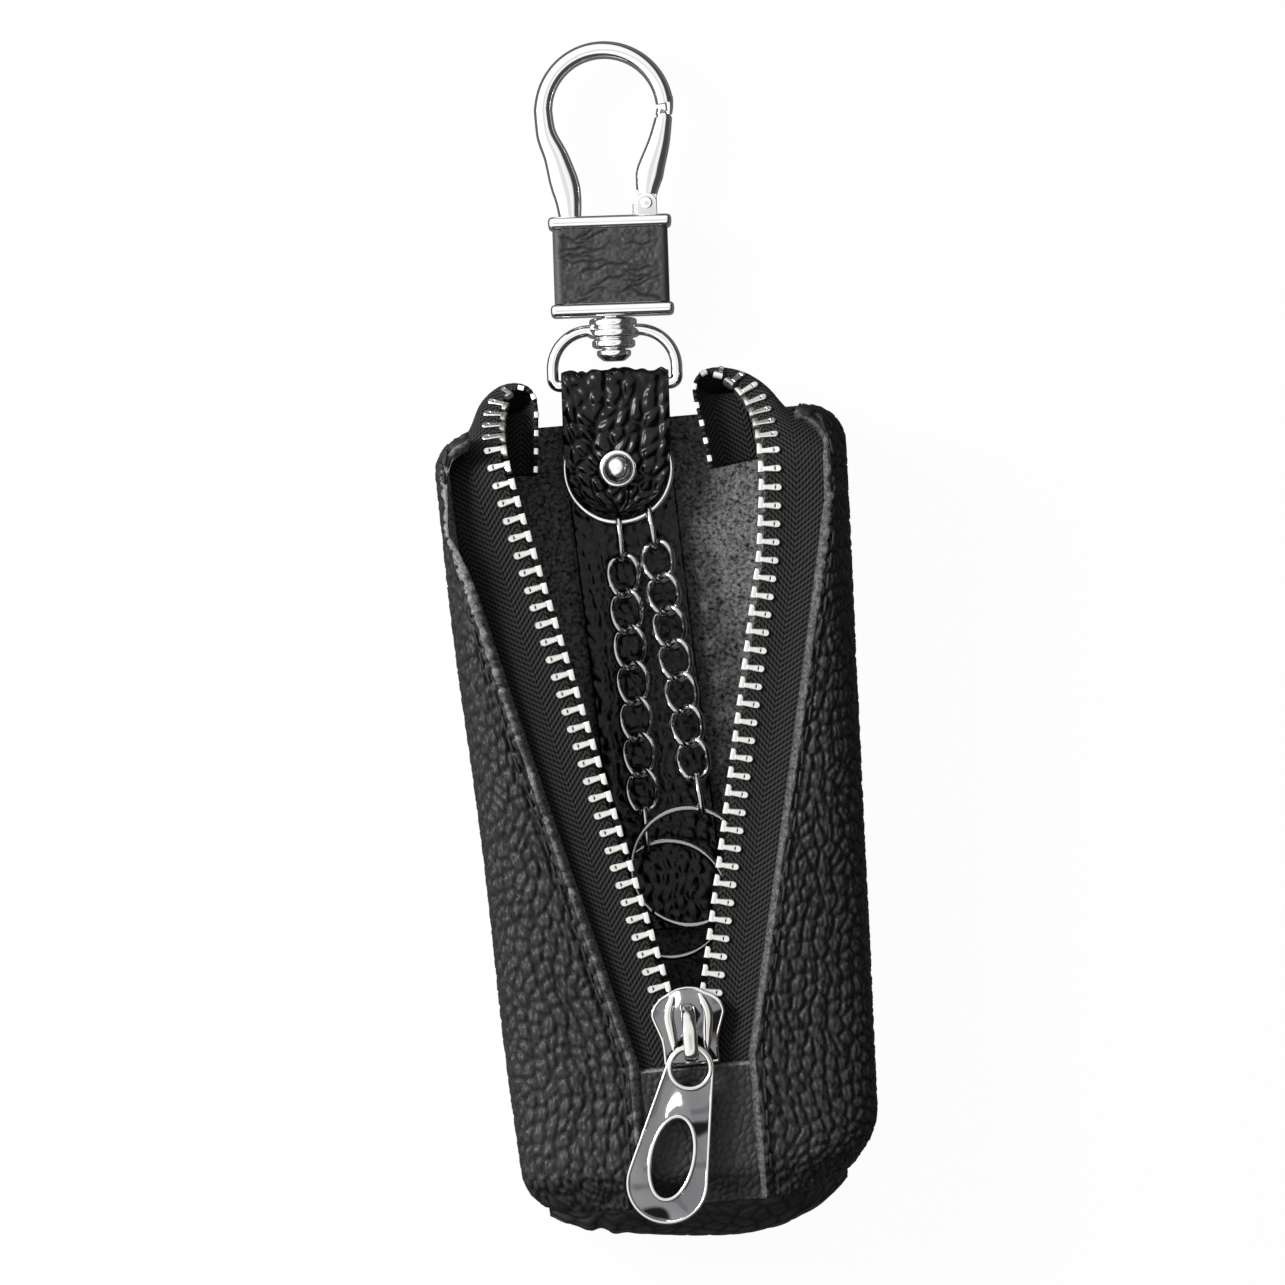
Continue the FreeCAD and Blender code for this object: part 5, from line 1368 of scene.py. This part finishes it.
chain = {"wire": 0.36, "drawn": 0.45, "halfWidth": 2.0, "twist": 0.98, "slack": 0.16, "topHalf": 1.65,
         "keyHalf": 2.25, "steps": 32, "sides": 8, "keySlack": 0.3}
keyRing = {"radius": 7.8, "wire": 0.4, "gap": 0.1, "lean": 17.0, "cut": 250, "steps": 64}
runs = {
    "left": {"links": 9, "angle": -91.0, "ring": (-1.2, -10.1, 5.6), "side": -1},
    "right": {"links": 9, "angle": -56.0, "ring": (1.9, -5.9, 9.3), "side": 1}}


def linkShape(halfLength, halfWide, twist):
    # One curb link: an oval of wire, twisted so that it lies flat with its neighbours.
    turns = fullTurn(chain["steps"])
    path = np.column_stack([halfWide * np.cos(turns), halfLength * np.sin(turns),
                            twist * np.sin(2 * turns)])
    return tubeShape(path, chain["drawn"], chain["sides"], closed=True)


def keyCoil(centre):
    # Nearly two turns of wire, with a short step from the lower to the upper one.
    rise = 2 * keyRing["wire"] + keyRing["gap"]
    steps = keyRing["steps"]
    path = []
    for k in range(2 * steps - 3):
        a = 2 * math.pi * k / steps + math.radians(keyRing["cut"])
        share = float(gentle(-4.0, 4.0, np.array(k - steps + 1.0)))
        path.append((centre[0] + keyRing["radius"] * math.cos(a),
                     centre[1] + keyRing["radius"] * math.sin(a),
                     centre[2] + rise * (share - 0.5)))
    return tubeShape(path, keyRing["wire"], 12)


for runName, run in runs.items():
    a = math.radians(run["angle"])
    start = hookPlace @ Vector((wireRing["radius"] * math.cos(a), wireRing["radius"] * math.sin(a), 0))
    lean = math.radians(90 - run["side"] * keyRing["lean"])
    finish = Vector(run["ring"]) + Vector((math.cos(lean), math.sin(lean), 0)) * keyRing["radius"]
    step = (finish - start) / run["links"]
    middleHalf = step.length / 2 + chain["wire"] + chain["slack"] / 2
    link = patternShape("link_" + runName, [linkShape(middleHalf, chain["halfWidth"], chain["twist"])],
                        gunmetal)
    cuts = (0, 3, 6, run["links"])
    for part, first, last in zip(("upper", "middle", "lower"), cuts, cuts[1:]):
        name = "chain_%s_%s" % (runName, part)
        plain = [i for i in range(first, last) if i not in (0, run["links"] - 1)]
        line = [start + step * (i + 0.5) for i in reversed(plain)]
        body = runTree("chain%s%s" % (runName.title(), part.title()), alongTree, line, {
            "Shape": link, "Count": len(plain), "Tilt": 0.16, "Seed": 7}, gunmetal)
        extra = [i for i in (0, run["links"] - 1) if first <= i < last]
        if extra:
            # The first and last links stand on edge to take the rings
            i = extra[0]
            before = chain["wire"] + chain["slack"] / 2
            if i == 0:
                before = wireRing["wire"] + chain["wire"] + chain["slack"]
            after = chain["wire"] + (keyRing["wire"] + chain["keySlack"] if i else chain["slack"] / 2)
            way = step.normalized()
            top, low = start + step * i - way * before, start + step * (i + 1) + way * after
            shape = linkShape((low - top).length / 2, chain["topHalf"] if i == 0 else chain["keyHalf"], 0.0)
            stand = way.to_track_quat("Y", "Z").to_matrix().to_4x4() @ Matrix.Rotation(math.pi / 2, 4, "Y")
            whole = addPiece("standing", [moved(shape, Matrix.Translation((top + low) / 2) @ stand)],
                             [gunmetal])
            joined = bmesh.new()
            joined.from_mesh(body.data)
            joined.from_mesh(whole.data)
            joined.to_mesh(body.data)
            joined.free()
            body.data.polygons.foreach_set("use_smooth", [True] * len(body.data.polygons))
            bpy.data.objects.remove(whole)
        settle(body, name, "gunmetal", name)
    coil = addPiece("keyRing" + runName.title(), [keyCoil(run["ring"])], [keyRingSteel])
    settle(coil, "key_ring_" + runName, "steel_wire", "key_ring_" + runName)
for one in patterns:
    bpy.data.objects.remove(one)
print("chains and key rings ready")


# Floor, light and camera

floorSet = {"half": 2, "level": -0.0002, "paper": "#f4f4f4", "table": "#6a6a6a", "glow": 0.97}
floorMaterial, floorTree, floorShader = newMaterial("white paper floor", **{
    "Base Color": linear(floorSet["paper"]), "Roughness": 0.9, "Specular IOR Level": 0.1})
rays = node(floorTree, "ShaderNodeLightPath").outputs
amount = node(floorTree, "ShaderNodeMath", {0: rays["Is Camera Ray"], 1: floorSet["glow"]},
              operation="MULTIPLY")
glow = node(floorTree, "ShaderNodeEmission", {"Color": (1, 1, 1, 1), "Strength": 1.0})
mixed = node(floorTree, "ShaderNodeMixShader",
             {0: amount.outputs[0], 1: floorShader.outputs[0], 2: glow.outputs[0]})
# Metal sees the floor as the grey table edge round it, which draws its outline.
shade = node(floorTree, "ShaderNodeEmission", {"Color": linear(floorSet["table"]), "Strength": 1.0})
mixed = node(floorTree, "ShaderNodeMixShader",
             {0: rays["Is Glossy Ray"], 1: mixed.outputs[0], 2: shade.outputs[0]})
floorOutput = next(n for n in floorTree.nodes if n.type == "OUTPUT_MATERIAL")
floorTree.links.new(mixed.outputs[0], floorOutput.inputs[0])
floorMesh = bpy.data.meshes.new("floor")
floorCorners = [(x * floorSet["half"], y * floorSet["half"], floorSet["level"])
                for x, y in ((-1, -1), (1, -1), (1, 1), (-1, 1))]
floorMesh.from_pydata(floorCorners, [], [(0, 1, 2, 3)])
floorMesh.materials.append(floorMaterial)
floor = bpy.data.objects.new("floor", floorMesh)
bpy.context.scene.collection.objects.link(floor)

world = bpy.data.worlds.new("studio")
world.use_nodes = True
worldTree = world.node_tree
worldTree.nodes.clear()
# A white tent with a gap for the lens overhead and a dim room below it, brighter and lower on the
# upper left; mirrors see it stronger than matt surfaces do.
sky = {"towards": (-0.55, 0.38, 1.0), "tent": (0.4, 0.6), "gap": (0.962, 0.99, 1.0, 0.7),
       "sides": (-0.8, 0.8, 1.35, 0.75), "room": 0.06, "matt": 0.3, "mirror": 1.1}
skyward = node(worldTree, "ShaderNodeTexCoord").outputs["Generated"]
ahead = node(worldTree, "ShaderNodeSeparateXYZ", {0: skyward}).outputs
leaning = node(worldTree, "ShaderNodeVectorMath", {0: skyward, 1: sky["towards"]},
               operation="DOT_PRODUCT").outputs["Value"]
tent = node(worldTree, "ShaderNodeMapRange", dict(enumerate((leaning, *sky["tent"]))),
            interpolation_type="SMOOTHSTEP")
gap = node(worldTree, "ShaderNodeMapRange", dict(enumerate((ahead[2], *sky["gap"]))),
           interpolation_type="SMOOTHSTEP")
lean = node(worldTree, "ShaderNodeMapRange", dict(enumerate((ahead[0], *sky["sides"]))))
both = node(worldTree, "ShaderNodeMath", {0: tent.outputs[0], 1: gap.outputs[0]}, operation="MULTIPLY")
ramp = node(worldTree, "ShaderNodeMath", {0: both.outputs[0], 1: lean.outputs[0], 2: sky["room"]},
            operation="MULTIPLY_ADD")
glossy = node(worldTree, "ShaderNodeLightPath").outputs["Is Glossy Ray"]
share = node(worldTree, "ShaderNodeMapRange", {0: glossy, 3: sky["matt"], 4: sky["mirror"]})
power = node(worldTree, "ShaderNodeMath", {0: ramp.outputs[0], 1: share.outputs[0]}, operation="MULTIPLY")
backing = node(worldTree, "ShaderNodeBackground", {"Color": (1, 1, 1, 1), "Strength": power.outputs[0]})
node(worldTree, "ShaderNodeOutputWorld", {0: backing.outputs[0]})
bpy.context.scene.world = world

keyLamp = {"at": (-0.7, 0.4, 0.6), "size": 0.3, "power": 11.0, "target": (0, 0.02, 0.01)}
lampData = bpy.data.lights.new("keyLamp", "AREA")
lampData.energy = keyLamp["power"]
lampData.size = keyLamp["size"]
lamp = bpy.data.objects.new("keyLamp", lampData)
lamp.location = keyLamp["at"]
lamp.rotation_mode = "QUATERNION"
lamp.rotation_quaternion = (Vector(keyLamp["target"]) - lamp.location).to_track_quat("-Z", "Y")
bpy.context.scene.collection.objects.link(lamp)

view = {"x": -1.8, "y": 24.4, "width": 170.9, "height": 12.0, "lens": 250.0, "sensor": 36.0,
        "up": (0.0854, 0.9963, 0)}
cameraData = bpy.data.cameras.new("camera")
cameraData.lens = view["lens"]
cameraData.sensor_width = view["sensor"]
distance = view["width"] / 2 / (view["sensor"] / 2 / view["lens"])
camera = bpy.data.objects.new("camera", cameraData)
upward = Vector(view["up"]).normalized()
sideways = upward.cross(Vector((0, 0, 1)))
aimed = Matrix((sideways, upward, Vector((0, 0, 1)))).transposed().to_4x4()
eyePoint = Vector((view["x"], view["y"], view["height"] + distance)) * mm
camera.matrix_world = Matrix.Translation(eyePoint) @ aimed
cameraData.clip_end = 10
bpy.context.scene.collection.objects.link(camera)
bpy.context.scene.camera = camera
bpy.context.scene.view_settings.view_transform = "Standard"
print("floor, light and camera ready")
